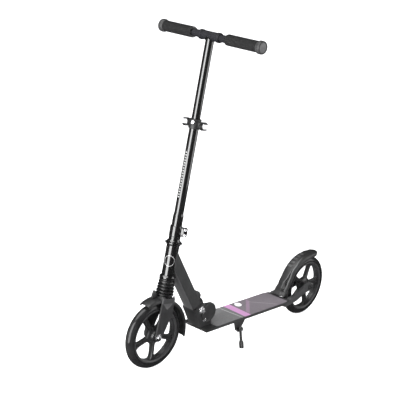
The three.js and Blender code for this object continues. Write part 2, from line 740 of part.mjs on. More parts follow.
// ---- rear end ----
function armShape() {
  return outline([
    [-150, BEAM_LOW, 3], [-150, 82, 3], [-239, 82, 1], [-247, 88, 3], [-282, 90, 16], [-349, 122, 8],
    [-372, 111, 9], [-372, 88, 10], [-350, 86, 8], [-284, BEAM_LOW, 18],
  ]);
}

// The arm's flank: it carries the deck's edge on and runs in towards the axle.
function armFlank(side) {
  const root = ARM_OUT - 2;
  const edge = DECK_HALF - 1.5;
  const plan = outline([
    [DECK_REAR - 1.5, side * root], [DECK_REAR - 1.5, side * edge], [DECK_REAR - 7, side * edge, 4],
    [-268, side * 39.5, 30], [-328, side * 30], [-328, side * root],
  ]);
  const [low, high] = side > 0 ? [root, DECK_HALF] : [-DECK_HALF, -root];
  return shared(sidePlate(armShape(), low, high), extruded(plan, 60).translate(0, 0, BEAM_LOW - 2));
}

function rearArm(side) {
  const span = (from, to) => (side > 0 ? [from, to] : [-to, -from]);
  const plate = sidePlate(armShape(), ...span(ARM_IN, ARM_OUT));
  const boss = alongY(rod(8, ...span(17.6, ARM_IN + 1), 16)).translate(-HALF_WHEELBASE, 0, WHEEL_R);
  const bore = (radius, x, z) => alongY(rod(radius, ...span(10, 40), 14)).translate(x, 0, z);
  const bolts = FRAME_BOLTS.map((x) => bore(3.3, x, FRAME_BOLT_Z));
  return cut(join(plate, armFlank(side), boss), bore(AXLE_R + GAP, -HALF_WHEELBASE, WHEEL_R),
    bore(3.3, BRAKE_PIN.x, BRAKE_PIN.z), ...bolts);
}

function brakeGuard() {
  const path = [[132.7, -3.4], [122, 3], [113, 12], [109.5, 26], [109, 45], [109, 68], [109.5, 85], [113, 98],
    [119.5, 112]];
  const shell = guard(path, guardSection(22, 2, 7), 22).translate(-HALF_WHEELBASE, 0, WHEEL_R);
  const earShape = outline([
    [-251.5, 71, 4], [-239.2, 71, 4], [-239.2, 91], [-236, 97], [-240, 107], [-249, 110, 3],
  ]);
  const ears = [[19.4, 24.3], [-24.3, -19.4]].map(([from, to]) => sidePlate(earShape, from, to));
  const bore = alongY(rod(3.3, -40, 40, 14)).translate(BRAKE_PIN.x, 0, BRAKE_PIN.z);
  return cut(join(shell, ...ears), bore);
}

function rearParts() {
  const pin = alongY(rod(3, -ARM_OUT, ARM_OUT, 14));
  const spring = alongY(coil(4.6, 0.9, -9, 9, 6));
  const axleGroup = axle('rear', ARM_OUT);
  axleGroup.position.set(-HALF_WHEELBASE, 0, WHEEL_R);
  const wheelGroup = wheel('rear', THREE.MathUtils.degToRad(106));
  wheelGroup.position.set(-HALF_WHEELBASE, 0, WHEEL_R);
  return group(
    part('rear_arm_left', 'frame_black', rearArm(1)),
    part('rear_arm_right', 'frame_black', rearArm(-1)),
    part('brake_pin', 'steel', pin.translate(BRAKE_PIN.x, 0, BRAKE_PIN.z)),
    part('brake_spring', 'steel', spring.translate(BRAKE_PIN.x, 0, BRAKE_PIN.z)),
    part('brake_guard', 'plastic', brakeGuard()),
    axleGroup,
    wheelGroup,
  );
}

// ---- kickstand ----
function kickstandBracket() {
  const plate = sidePlate(outline([[-6, PLATE_LOW - GAP, 1], [44, PLATE_LOW - GAP, 1], [43, 72, 4], [33, 46, 4],
    [16, 46, 4], [-3, 70, 4]]), 41, 45.5);
  const flange = box(-6, 44, 27, 45.5, 78.6, PLATE_LOW - GAP);
  const boss = aimed(rod(5.5, -14, -KICK_HUB - GAP, 16), KICK_PIVOT, KICK_AXIS);
  return cut(join(plate, flange, boss), aimed(rod(2.8, -30, 30, 12), KICK_PIVOT, KICK_AXIS));
}

function kickstandLeg() {
  const along = KICK_FOOT.clone().sub(KICK_PIVOT).normalize();
  const length = KICK_FOOT.distanceTo(KICK_PIVOT);
  const hub = aimed(rod(7.5, -KICK_HUB, KICK_HUB, 18), KICK_PIVOT, KICK_AXIS);
  const leg = aimed(rod(4.2, 0, length - 6, 14), KICK_PIVOT, along);
  return cut(join(hub, leg), aimed(rod(2.8, -30, 30, 12), KICK_PIVOT, KICK_AXIS));
}

// The rubber shoe on the leg's end, flat where it meets the ground.
function kickstandFoot() {
  const along = KICK_FOOT.clone().sub(KICK_PIVOT).normalize();
  const length = KICK_FOOT.distanceTo(KICK_PIVOT);
  const shoe = aimed(
    turned([[0, length - 22], [5.6, length - 22], [7, length - 17], [7.4, length + 12], [0, length + 12]], 16),
    KICK_PIVOT,
    along,
  );
  const pocket = aimed(rod(4.2 + GAP, 0, length - 6 + GAP, 14), KICK_PIVOT, along);
  const level = TYRE_HALF * (Math.cos(LEAN) - 1);
  const ground = box(-200, 200, -200, 200, -100, level).rotateX(LEAN);
  return cut(shoe, pocket, ground);
}

function kickstandParts() {
  const bolt = join(rod(2.5, -13.5, 6, 12), rod(4.8, KICK_HUB + GAP, 8.5, 6));
  return group(
    part('kickstand_bracket', 'frame_black', kickstandBracket()),
    part('kickstand_bolt', 'steel', aimed(bolt, KICK_PIVOT, KICK_AXIS)),
    part('kickstand_leg', 'gloss_black', kickstandLeg()),
    part('kickstand_foot', 'rubber', kickstandFoot()),
  );
}

// ---- assembly ----
function steering() {
  const steered = group(columnParts(), stemParts(), forkParts());
  steered.rotation.z = STEER;
  const axis = group(steered);
  axis.position.set(AXIS_X, 0, WHEEL_R);
  axis.rotation.y = -RAKE;
  return axis;
}

function hingeParts() {
  const pivot = part('fold_pivot_bolt', 'chrome', crossBolt(5, 8.2, 7));
  pivot.position.set(PIVOT.x, 0, PIVOT.z);
  const lock = part('hinge_lock_bolt', 'chrome', crossBolt(3.5, 5.6, 3));
  lock.position.set(LOCK.x, 0, LOCK.z);
  return group(part('hinge_bracket', 'cast_black', hingeBracket()), pivot, lock);
}

const leaning = group(deck(), hingeParts(), frontFrame(), steering(), rearParts(), kickstandParts());
leaning.rotation.x = -LEAN;

const scooter = group(leaning);
scooter.updateMatrixWorld(true);
const bounds = new THREE.Box3().setFromObject(scooter, true);
const middle = bounds.getCenter(new THREE.Vector3());
leaning.position.set(-middle.x, -middle.y, -bounds.min.z);

export default scooter;
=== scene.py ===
"""Looks for the folding kick scooter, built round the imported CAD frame.

Shapes are drawn in millimetres in a few local frames (the upright scooter, the steering column,
each wheel) and placed in metres in the CAD frame. Every piece rides on a CAD body.
"""

import math

import bmesh
import bpy
from mathutils import Matrix, Vector


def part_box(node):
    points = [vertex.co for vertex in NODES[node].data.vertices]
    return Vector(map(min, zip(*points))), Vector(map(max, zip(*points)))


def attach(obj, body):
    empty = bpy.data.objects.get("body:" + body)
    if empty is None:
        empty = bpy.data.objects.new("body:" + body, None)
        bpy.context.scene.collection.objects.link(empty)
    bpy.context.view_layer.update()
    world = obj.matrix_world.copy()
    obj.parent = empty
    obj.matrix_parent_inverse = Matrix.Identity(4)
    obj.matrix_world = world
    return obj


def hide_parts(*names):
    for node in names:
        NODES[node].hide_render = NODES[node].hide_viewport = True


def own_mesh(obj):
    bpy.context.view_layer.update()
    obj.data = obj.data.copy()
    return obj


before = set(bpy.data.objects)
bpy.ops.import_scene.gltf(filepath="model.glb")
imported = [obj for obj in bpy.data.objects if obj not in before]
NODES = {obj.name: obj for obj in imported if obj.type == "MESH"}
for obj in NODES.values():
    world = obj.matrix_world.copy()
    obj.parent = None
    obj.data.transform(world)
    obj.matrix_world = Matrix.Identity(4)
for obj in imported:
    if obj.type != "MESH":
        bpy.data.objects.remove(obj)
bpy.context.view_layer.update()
SCENE = bpy.context.scene

# ---- the scooter's own frames ----
MM = 0.001
LEAN = math.radians(7.66)
RAKE = math.radians(6.69)
STEER = math.radians(-4)
WHEEL_R = 100
HALF_WHEELBASE = 360
AXIS_X = 342.87
BAR_LEVEL = 860
CLIP_LEVEL = 615
PIN_LEVEL = 621
DECK_TOP = 86
TUBE_TILT = 34.5
TUBE_FOOT = (220.6, 0, 186.4)  # where the down tube's middle line starts
FRONT_PHASE = 48  # degrees that each wheel's spokes are turned
REAR_PHASE = 106


def shift(x, y, z):
    return Matrix.Translation(Vector((x, y, z)) * MM)


def turn(degrees, axis):
    return Matrix.Rotation(math.radians(degrees), 4, axis)


LOW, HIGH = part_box("rear_tyre")
HUB = Matrix.Translation((LOW + HIGH) / 2)
UPRIGHT = HUB @ turn(-math.degrees(LEAN), "X") @ shift(HALF_WHEELBASE, 0, -WHEEL_R)
AXIS_PLACE = shift(AXIS_X, 0, WHEEL_R) @ turn(-math.degrees(RAKE), "Y")
AXIS = UPRIGHT @ AXIS_PLACE
COLUMN = AXIS @ turn(math.degrees(STEER), "Z")
FORK_AXLE = shift(17, 0, -2)
FRONT_WHEEL = COLUMN @ FORK_AXLE
REAR_WHEEL = UPRIGHT @ shift(-HALF_WHEELBASE, 0, WHEEL_R)
BAR = COLUMN @ shift(0, 0, BAR_LEVEL)
FOLD_PIVOT = shift(185, 0, 144)
LOCK_BOLT = shift(169, 0, 110.5)
CHEEK_MIDDLE = shift(153.2, 0, 131)
ALONG_Y = turn(-90, "X")  # +Z to +Y
AGAINST_Y = turn(90, "X")  # +Z to -Y
SIDE = AGAINST_Y  # it also stands a drawing in x, y up in x, z
ACROSS = Matrix(((0, 0, 1, 0), (1, 0, 0, 0), (0, 1, 0, 0), (0, 0, 0, 1)))  # x, y to y, z


# ---- shapes: a shape is (points in mm, faces) ----
def polar(radius, degrees, height=0):
    """A point by its distance from Z and its angle round it."""
    a = math.radians(degrees)
    return Vector((radius * math.cos(a), radius * math.sin(a), height))


def circle(radius, sides):
    return [polar(radius, 360 * k / sides).xy for k in range(sides)]


def joined(*shapes):
    points, faces = [], []
    for more_points, more_faces in shapes:
        start = len(points)
        points += more_points
        faces += [[i + start for i in face] for face in more_faces]
    return points, faces


def moved(shape, matrix):
    turned_by = matrix.to_3x3()
    offset = matrix.translation / MM
    return [turned_by @ p + offset for p in shape[0]], shape[1]


def rounded(corners, closed=True, steps=5):
    """A polyline whose corners are (x, y, cut): cut is how far back the rounding starts."""
    line = []
    count = len(corners)
    for i, corner in enumerate(corners):
        here = Vector(corner[:2])
        cut = corner[2] if len(corner) > 2 else 0
        if cut <= 0 or (not closed and i in (0, count - 1)):
            line.append(here)
            continue
        back = Vector(corners[i - 1][:2]) - here
        onward = Vector(corners[(i + 1) % count][:2]) - here
        start = here + back.normalized() * min(cut, back.length * 0.49)
        end = here + onward.normalized() * min(cut, onward.length * 0.49)
        for k in range(steps + 1):
            t = k / steps
            line.append(start * (1 - t) ** 2 + here * 2 * t * (1 - t) + end * t * t)
    return line


def flipped(profile):
    """A profile's mirror image below its middle, in the order that leads up to it."""
    return [(r, -y, cut) for r, y, cut in reversed(profile)]


def turned(profile, sides=64, cut=0.5, closed=False):
    """A piece turned about Z. The profile is (radius, height[, cut]) going up the outside."""
    line = rounded([(*p[:2], p[2] if len(p) > 2 else cut) for p in profile], closed, 3)
    points, faces, rings = [], [], []
    for radius, height in line:
        if radius < 1e-6:
            rings.append([len(points)] * sides)
            points.append(Vector((0, 0, height)))
            continue
        rings.append(list(range(len(points), len(points) + sides)))
        points += [polar(radius, 360 * k / sides, height) for k in range(sides)]
    pairs = list(zip(rings, rings[1:] + rings[:1])) if closed else list(zip(rings, rings[1:]))
    for low, high in pairs:
        for k in range(sides):
            n = (k + 1) % sides
            face = list(dict.fromkeys((low[k], low[n], high[n], high[k])))
            if len(face) > 2:
                faces.append(face)
    return points, faces


def ring(outer, inner, low, high, sides=64, cut=0.5):
    return turned([(inner, low), (outer, low), (outer, high), (inner, high)], sides, cut, True)


def rod(radius, low, high, sides=32, cut=0.5):
    return turned([(0, low), (radius, low), (radius, high), (0, high)], sides, cut)


def loft(rings, loop=False):
    """Skins between rings of points. Open ends are capped."""
    count = len(rings[0])
    points = [Vector(p) for line in rings for p in line]
    faces = []
    last = len(rings) if loop else len(rings) - 1
    for i in range(last):
        a, b = i * count, ((i + 1) % len(rings)) * count
        for k in range(count):
            n = (k + 1) % count
            faces.append([a + k, a + n, b + n, b + k])
    if not loop:
        faces.append(list(range(count))[::-1])
        faces.append([(len(rings) - 1) * count + k for k in range(count)])
    return points, faces


def inset(line, distance):
    """A closed outline moved inwards, or outwards for a negative distance."""
    area = sum(a.cross(b) for a, b in zip(line, line[1:] + line[:1]))
    sign = 1 if area > 0 else -1
    result = []
    for i, here in enumerate(line):
        before, after = (here - line[i - 1]), (line[(i + 1) % len(line)] - here)
        if before.length < 1e-9 or after.length < 1e-9:
            before = after = before if before.length > after.length else after
        before, after = before.normalized(), after.normalized()
        normal = Vector((-before.y - after.y, before.x + after.x)) * sign
        if normal.length < 1e-6:
            result.append(here.copy())
            continue
        normal.normalize()
        lean_out = max(0.5, abs(normal.dot(Vector((-before.y, before.x)))))
        result.append(here + normal * distance / lean_out)
    return result


def slab(line, low, high, cut=0.8, top_cut=None):
    """A plate with eased edges: an outline in x, y between two heights."""
    top_cut = cut if top_cut is None else top_cut
    levels = [(low, cut), (low + cut * 0.3, cut * 0.3), (low + cut, 0)]
    levels += [(high - top_cut, 0), (high - top_cut * 0.3, top_cut * 0.3), (high, top_cut)]
    return loft([[(p.x, p.y, z) for p in inset(line, d)] for z, d in levels])


def tube(path, radius, sides=10, loop=False):
    """A round bar along points. radius may be a number or one per point."""
    path = [Vector(p) for p in path]
    radii = radius if isinstance(radius, (list, tuple)) else [radius] * len(path)
    count = len(path)
    rings = []
    normal = None
    for i, here in enumerate(path):
        ahead = path[(i + 1) % count] if loop or i < count - 1 else here
        behind = path[i - 1] if loop or i > 0 else here
        along = (ahead - behind).normalized()
        if normal is None:
            normal = along.orthogonal()
        normal = (normal - along * normal.dot(along)).normalized()
        other = along.cross(normal)
        rings.append([here + normal * p.x + other * p.y for p in circle(radii[i], sides)])
    return loft(rings, loop)


def placed(name, data):
    """A new object in the scene."""
    obj = bpy.data.objects.new(name, data)
    SCENE.collection.objects.link(obj)
    return obj


def facing_out(mesh, weld=0):
    """The mesh with its faces turned outwards. Points closer than weld in mm are joined."""
    bm = bmesh.new()
    bm.from_mesh(mesh)
    if weld:
        bmesh.ops.remove_doubles(bm, verts=bm.verts, dist=weld * MM)
    bmesh.ops.recalc_face_normals(bm, faces=bm.faces)
    bm.to_mesh(mesh)
    bm.free()
    return mesh


def mesh_from(name, shape, sharp=35):
    mesh = bpy.data.meshes.new(name)
    mesh.from_pydata([p * MM for p in shape[0]], [], shape[1])
    smooth(facing_out(mesh), sharp)
    return mesh


def smooth(mesh, sharp):
    mesh.polygons.foreach_set("use_smooth", [True] * len(mesh.polygons))
    mesh.set_sharp_from_angle(angle=math.radians(sharp))
    mesh.update()


def piece(name, shape, place, body, material, nodes=(), sharp=35):
    """Places a shape or a ready mesh on a CAD body. It replaces the CAD nodes that are named."""
    mesh = shape if isinstance(shape, bpy.types.Mesh) else mesh_from(name, shape, sharp)
    obj = placed(name, mesh)
    obj.matrix_world = place
    obj.data.materials.clear()
    obj.data.materials.append(material)
    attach(obj, body)
    if nodes:
        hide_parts(*nodes)
    return obj


def look(node, shape, place, body, material, sharp=35):
    """The piece that stands for one CAD node."""
    return piece(f"{node}_look", shape, place, body, material, [node], sharp)


def refined(node, body, material, width, segments):
    """A CAD node's own shape, cleaned of its facets' diagonals and with eased edges."""
    bm = bmesh.new()
    bm.from_mesh(NODES[node].data)
    bmesh.ops.remove_doubles(bm, verts=bm.verts, dist=0.02 * MM)
    bmesh.ops.dissolve_limit(bm, angle_limit=math.radians(1.2), verts=bm.verts, edges=bm.edges)
    crease = math.radians(28)
    edges = [e for e in bm.edges if len(e.link_faces) == 2 and e.calc_face_angle(0) > crease]
    bmesh.ops.bevel(bm, geom=edges, offset=width * MM, segments=segments, profile=0.5,
                    affect="EDGES", clamp_overlap=True)
    bmesh.ops.recalc_face_normals(bm, faces=bm.faces)
    mesh = bpy.data.meshes.new(node + "_shape")
    bm.to_mesh(mesh)
    bm.free()
    smooth(mesh, 32)
    look(node, mesh, Matrix.Identity(4), body, material)


def applied(mesh, kind, **settings):
    """The mesh after a modifier."""
    obj = placed("shaping", mesh)
    modifier = obj.modifiers.new(kind, kind)
    for key, value in settings.items():
        setattr(modifier, key, value)
    depsgraph = bpy.context.evaluated_depsgraph_get()
    depsgraph.update()
    result = bpy.data.meshes.new_from_object(obj.evaluated_get(depsgraph))
    bpy.data.objects.remove(obj)
    return result


def fused(name, shape, voxel, rounds, hollows):
    """Overlapping shapes melted into one casting with soft fillets."""
    mesh = applied(mesh_from(name, shape), "REMESH", mode="VOXEL", voxel_size=voxel * MM,
                   use_smooth_shade=True)
    for hollow in hollows:
        mesh = less(mesh, name, hollow)
    mesh = applied(mesh, "SMOOTH", factor=0.5, iterations=rounds)
    smooth(mesh, 50)
    return mesh


def less(mesh, name, tool):
    """The mesh without the room that a shape takes."""
    cutter = placed(name + "_cutter", mesh_from(name + "_cutter", tool))
    mesh = applied(mesh, "BOOLEAN", operation="DIFFERENCE", object=cutter, solver="EXACT")
    bpy.data.objects.remove(cutter)
    return facing_out(mesh, 0.01)


def cut_by(name, shape, *tools):
    """A shape's mesh without the room that each tool takes."""
    mesh = mesh_from(name, shape)
    for tool in tools:
        mesh = less(mesh, name, tool)
    smooth(mesh, 35)
    return mesh


# ---- materials ----
def tone(value):
    """A colour, or the nearly neutral grey of a number."""
    return value if isinstance(value, tuple) else (value, value, value * 1.02)


def add(tree, kind, **inputs):
    """A shader node whose inputs are numbers or outputs of other nodes."""
    node = tree.nodes.new("ShaderNode" + kind)
    for key, value in inputs.items():
        socket = node.inputs[key.replace("_", " ")]
        if isinstance(value, bpy.types.NodeSocket):
            tree.links.new(value, socket)
        else:
            socket.default_value = value
    return node


def surface(name, dark, light, patch, rough, grain, **sockets):
    """A finish whose colour drifts between two tones and whose grain stands out as fine bumps.

    patch is the colour drift's scale and rough the range of roughness; grain is (scale, strength,
    height in mm). The scales are in features per metre."""
    material = bpy.data.materials.new(name)
    material.use_nodes = True
    tree = material.node_tree
    place = add(tree, "TexCoord").outputs["Object"]
    drift = add(tree, "TexNoise", Vector=place, Scale=patch, Detail=4.0)
    ramp = add(tree, "ValToRGB", Fac=drift.outputs["Fac"])
    for stop, position, colour in zip(ramp.color_ramp.elements, (0.35, 0.68), (dark, light)):
        stop.position = position
        stop.color = (*tone(colour), 1)
    wear = add(tree, "TexNoise", Vector=place, Scale=patch * 2.7, Detail=4.0)
    polish = add(tree, "MapRange", Value=wear.outputs["Fac"], From_Min=0.3, From_Max=0.7,
                 To_Min=rough[0], To_Max=rough[1])
    scale, strength, height = grain
    fine = add(tree, "TexNoise", Vector=place, Scale=scale, Detail=6.0)
    bump = add(tree, "Bump", Strength=strength, Distance=height * MM, Height=fine.outputs["Fac"])
    shader = tree.nodes["Principled BSDF"]
    tree.links.new(ramp.outputs["Color"], shader.inputs["Base Color"])
    tree.links.new(polish.outputs["Result"], shader.inputs["Roughness"])
    tree.links.new(bump.outputs["Normal"], shader.inputs["Normal"])
    for key, value in sockets.items():
        shader.inputs[key.replace("_", " ")].default_value = value
    return material


class Paint:
    """Adds masks to a material: each mask paints its own colour over what is there."""

    def __init__(self, material):
        self.tree = material.node_tree
        self.shader = self.tree.nodes["Principled BSDF"]
        place = add(self.tree, "TexCoord").outputs["Object"]
        split = add(self.tree, "SeparateXYZ", Vector=place)
        self.x, self.y, self.z = (self.times(part, 1 / MM) for part in split.outputs)

    def math(self, operation, *values):
        node = add(self.tree, "Math")
        node.operation = operation
        for socket, value in zip(node.inputs, values):
            if isinstance(value, (int, float)):
                socket.default_value = value
            else:
                self.tree.links.new(value, socket)
        return node.outputs[0]

    def within(self, value, low, high, soft=0.4):
        """1 between two limits, with soft edges."""
        rise = self.math("DIVIDE", self.math("SUBTRACT", value, low), soft)
        fall = self.math("DIVIDE", self.math("SUBTRACT", high, value), soft)
        mask = self.math("MINIMUM", rise, fall)
        mask.node.use_clamp = True
        return mask

    def times(self, first, *others):
        for other in others:
            first = self.math("MULTIPLY", first, other)
        return first

    def distance(self, u, v):
        """The length of a vector with two parts."""
        squares = [self.times(part, part) for part in (u, v)]
        return self.math("SQRT", self.math("ADD", *squares))

    def across(self, start, end):
        """Signed distance from a line through two points in x, y."""
        (ax, ay), (bx, by) = start, end
        length = math.hypot(bx - ax, by - ay)
        nx, ny = -(by - ay) / length, (bx - ax) / length
        partial = self.math("MULTIPLY_ADD", self.x, nx, -(ax * nx + ay * ny))
        return self.math("MULTIPLY_ADD", self.y, ny, partial)

    def over(self, mask, colour, amount):
        mix = add(self.tree, "Mix")
        mix.data_type = "RGBA"
        before = self.shader.inputs["Base Color"].links[0].from_socket
        self.tree.links.new(self.times(mask, amount), mix.inputs["Factor"])
        self.tree.links.new(before, mix.inputs["A"])
        mix.inputs["B"].default_value = (*colour, 1)
        self.tree.links.new(mix.outputs["Result"], self.shader.inputs["Base Color"])


def gloss_paint(name):
    return surface(name, 0.003, 0.006, 9, (0.16, 0.24), (160, 0.05, 0.4),
                   Coat_Weight=1.0, Coat_Roughness=0.05, Metallic=0.0)


def powder_paint(name):
    return surface(name, 0.022, 0.029, 30, (0.55, 0.68), (1400, 0.35, 0.12),
                   Specular_IOR_Level=0.35)


def cast_paint(name):
    return surface(name, 0.02, 0.03, 40, (0.38, 0.5), (900, 0.3, 0.15), Metallic=0.2)


GLOSS = gloss_paint("gloss_black")
FRAME = powder_paint("frame_powder")
# A lighter copy of the frame powder for the rear arms: painted light, for the light on their side
# faces.
ARM_LIT_POWDER = surface("arm_powder_painted_light", 0.032, 0.046, 300, (0.5, 0.65), (1400, 0.5, 0.2),
              Specular_IOR_Level=0.35)
CAST = cast_paint("cast_black")
MOULD = surface("moulded_black", 0.01, 0.016, 45, (0.38, 0.5), (1100, 0.35, 0.12))
# Paler moulding for the guard's raised lines: a painted highlight on their edges.
RIDGE_HIGHLIGHT = surface("ridge_painted_highlight", 0.06, 0.085, 45, (0.32, 0.42), (1100, 0.3, 0.12))
# On the guard's treads this paler moulding is a painted highlight.
PAD = surface("moulded_pad", 0.035, 0.055, 45, (0.4, 0.5), (1100, 0.3, 0.12))
RIM = surface("rim_black", 0.013, 0.02, 40, (0.26, 0.36), (900, 0.2, 0.1))
BOOT = surface("boot_rubber", 0.004, 0.008, 60, (0.22, 0.34), (700, 0.3, 0.15))
TYRE = surface("tyre_black", 0.009, 0.014, 35, (0.05, 0.09), (600, 0.06, 0.08),
               Specular_IOR_Level=0.27)
FOAM = surface("grip_foam", 0.006, 0.012, 220, (0.85, 0.95), (900, 0.9, 0.6),
               Specular_IOR_Level=0.25)
CAP = surface("cap_grey", 0.02, 0.028, 50, (0.5, 0.62), (900, 0.3, 0.1))
CAP_DISC = surface("cap_disc", 0.065, 0.09, 60, (0.5, 0.6), (900, 0.3, 0.1))
SLEEVE = surface("sleeve_satin", (0.008, 0.008, 0.01), (0.011, 0.011, 0.013), 25, (0.5, 0.6),
                 (1200, 0.3, 0.1), Specular_IOR_Level=0.25)
CHROME = surface("chrome", 0.72, 0.8, 30, (0.06, 0.14), (500, 0.05, 0.1), Metallic=1.0)
BRIGHT = surface("bright_steel", 0.75, 0.85, 60, (0.18, 0.3), (500, 0.1, 0.1), Metallic=0.9)
ZINC = surface("zinc_steel", 0.4, 0.55, 60, (0.25, 0.4), (700, 0.2, 0.1), Metallic=1.0)
BLACKENED = surface("blackened_steel", 0.03, 0.05, 60, (0.4, 0.55), (700, 0.2, 0.1), Metallic=0.5)
TAPE = surface("grip_tape", (0.098, 0.098, 0.1), (0.138, 0.138, 0.14), 900, (0.85, 0.98),
               (1700, 0.8, 0.5))


def print_tape(paint):
    """A lilac band, thin light lines and a plain spot, over a faint tint to the rear."""
    band = paint.across((-5.3, -45.7), (1.0, 48.2))
    rear = paint.math("SUBTRACT", 1.0, paint.within(band, -1e3, 32, 6))
    paint.over(rear, (0.135, 0.112, 0.135), 0.6)
    paint.over(paint.within(band, 1, 30), (0.42, 0.215, 0.40), 0.92)
    edge = paint.across((16.2, -41.5), (11.3, 50.6))
    paint.over(paint.within(edge, -1.4, 1.4), (0.42, 0.41, 0.42), 0.8)
    diagonal = paint.across((-108, -30), (-35, 31))
    stripe = paint.times(paint.within(diagonal, -6, 6), paint.within(paint.x, -116, -32, 3))
    paint.over(stripe, (0.26, 0.17, 0.25), 0.6)
    line = paint.across((-111, -20), (-154, 25))
    thin = paint.times(paint.within(line, -1.3, 1.3), paint.within(paint.x, -172, -106, 2))
    paint.over(thin, (0.3, 0.27, 0.3), 0.75)
    wide = paint.math("DIVIDE", paint.across((-58.3, -28.8), (-57.55, -28.14)), 12.0)
    deep = paint.math("DIVIDE", paint.across((-58.3, -28.8), (-58.96, -28.05)), 15.5)
    radius = paint.math("ADD", paint.math("POWER", wide, 2.0), paint.math("POWER", deep, 2.0))
    paint.over(paint.within(radius, -1, 1, 0.12), (0.8, 0.8, 0.81), 0.95)


print_tape(Paint(TAPE))
NOSE = surface("nose_cast", 0.014, 0.022, 40, (0.45, 0.6), (900, 0.3, 0.15), Metallic=0.1)


def print_nose(paint):
    """The grit carries on over the nose's flat top, up to the bevels at its corners."""
    top = paint.within(paint.z, DECK_TOP - 0.25, DECK_TOP + 1, 0.2)
    paint.over(top, (0.095, 0.095, 0.097), 0.9)


print_nose(Paint(NOSE))
TUBE_PAINT = powder_paint("tube_powder")


def paint_tube_lit_face(paint):
    """Painted light: the down tube's lower front face is painted lighter over the powder's own
    grain, a painted highlight for the light that falls on it.
    """
    c, s = math.cos(math.radians(TUBE_TILT)), math.sin(math.radians(TUBE_TILT))
    ahead = paint.math("MULTIPLY_ADD", paint.x, c, TUBE_FOOT[2] * s - TUBE_FOOT[0] * c)
    ahead = paint.math("MULTIPLY_ADD", paint.z, -s, ahead)
    paint.over(paint.within(ahead, 17.0, 20, 0.5), (0.07, 0.07, 0.071), 0.95)


paint_tube_lit_face(Paint(TUBE_PAINT))


def paint_rim_barrel_light(paint):
    """Painted light: the rim's barrel is painted paler than the spokes and the hub, for the light
    that falls on the barrel.
    """
    radius = paint.distance(paint.x, paint.z)
    paint.over(paint.within(radius, 74, 90, 1.5), (0.036, 0.036, 0.037), 0.85)


paint_rim_barrel_light(Paint(RIM))
FORK_PAINT = cast_paint("fork_cast")


def paint_fork_highlights(paint):
    """Painted light: a lighter facet under each shoulder of the crown, a painted highlight where
    the facet catches light, and a slightly lighter shoulder, painted as lit from above.
    """
    outside = paint.within(paint.times(paint.y, paint.y), 21 ** 2, 40 ** 2, 10)
    front = paint.math("SUBTRACT", paint.math("MULTIPLY_ADD", paint.z, 1.024, paint.x), 84.9)
    back = paint.math("SUBTRACT", paint.math("MULTIPLY_ADD", paint.z, 0.976, -73.1), paint.x)
    facet = paint.times(paint.within(front, 0, 200, 2), paint.within(back, 0, 200, 2))
    level = paint.within(paint.z, 79, 99.5, 0.6)
    paint.over(paint.times(outside, facet, level), (0.09, 0.09, 0.091), 0.75)
    paint.over(paint.within(paint.z, 100, 118, 0.6), (0.05, 0.05, 0.051), 0.45)


paint_fork_highlights(Paint(FORK_PAINT))
COLUMN_PAINT = gloss_paint("column_gloss")
HEAD_PAINT = gloss_paint("head_gloss")


# ---- wheels ----
SPOKES = 5
PITCH = 2 * math.pi / SPOKES


def tyre_shape():
    tread = [(85 + p.x, p.y, 0) for p in (polar(14.9, -100 + 200 * i / 24) for i in range(25))]
    side = [(84.4, 14.6, 0.3), (83.2, 14.4, 0.3), (82.2, 13.2, 0.4), (82.1, 11.5, 0.2)]
    inner = [(82.05, 6, 0), (82.05, -6, 0)]
    body = turned([*flipped(side), *tread, *side, *inner], 128, 0, True)
    seam = turned([(99.7, -0.5, 0), (100.0, 0, 0), (99.7, 0.5, 0)], 128, 0, True)
    return joined(body, seam)


def window_line(angle):
    """The opening between two spokes."""
    inner, outer, half_spoke = 27.5, 74.6, 7.5

    def at(radius, t, cut=0):
        """A point of the opening: t runs from 0 at one spoke to 1 at the next."""
        edge = math.asin(half_spoke / min(radius, outer))
        around_hub = angle + edge + (PITCH - 2 * edge) * t
        return (radius * math.cos(around_hub), radius * math.sin(around_hub), cut)

    start, end = (at(inner, 0, 6), at(outer, 0, 22)), (at(outer, 1, 22), at(inner, 1, 6))
    return rounded([*start, *(at(outer + 0.9, t) for t in (0.4, 0.5, 0.6)), *end], steps=7)


def web_mesh(name):
    """The spoked web: one flat curve with five openings, thick with eased edges."""
    half, cut = 5.0, 1.6
    curve = bpy.data.curves.new(name, "CURVE")
    curve.dimensions = "2D"
    curve.fill_mode = "BOTH"
    for line in [circle(78.5, 96), *(window_line(PITCH * k) for k in range(SPOKES))]:
        spline = curve.splines.new("POLY")
        spline.points.add(len(line) - 1)
        for point, p in zip(spline.points, line):
            point.co = (p.x * MM, p.y * MM, 0, 1)
        spline.use_cyclic_u = True
    curve.extrude = (half - cut) * MM
    curve.bevel_depth = cut * MM
    curve.bevel_resolution = 2
    curve.offset = -cut * MM
    obj = placed(name, curve)
    bpy.context.view_layer.update()
    mesh = bpy.data.meshes.new_from_object(obj)
    bpy.data.objects.remove(obj)
    points = [v.co / MM for v in mesh.vertices]
    faces = [list(p.vertices) for p in mesh.polygons]
    bpy.data.meshes.remove(mesh)
    return points, faces


def rib_shape(angle, side):
    """The raised middle of a spoke, on one face of the web: it widens towards the rim."""
    c, s = math.cos(angle), math.sin(angle)
    rings = []
    for i in range(9):
        t = i / 8
        radius = 24 + 52 * t
        half = 2.6 + 5.5 * max(0, t - 0.55) ** 2 / 0.2
        rise = 3.6 - 1.4 * t
        section = [(-half - 1.6, 0), (-half, rise), (half, rise), (half + 1.6, 0), (0, -1)]
        rings.append([
            Vector((radius * c - u * s, side * (4.4 + v), radius * s + u * c)) for u, v in section
        ])
    return loft(rings)


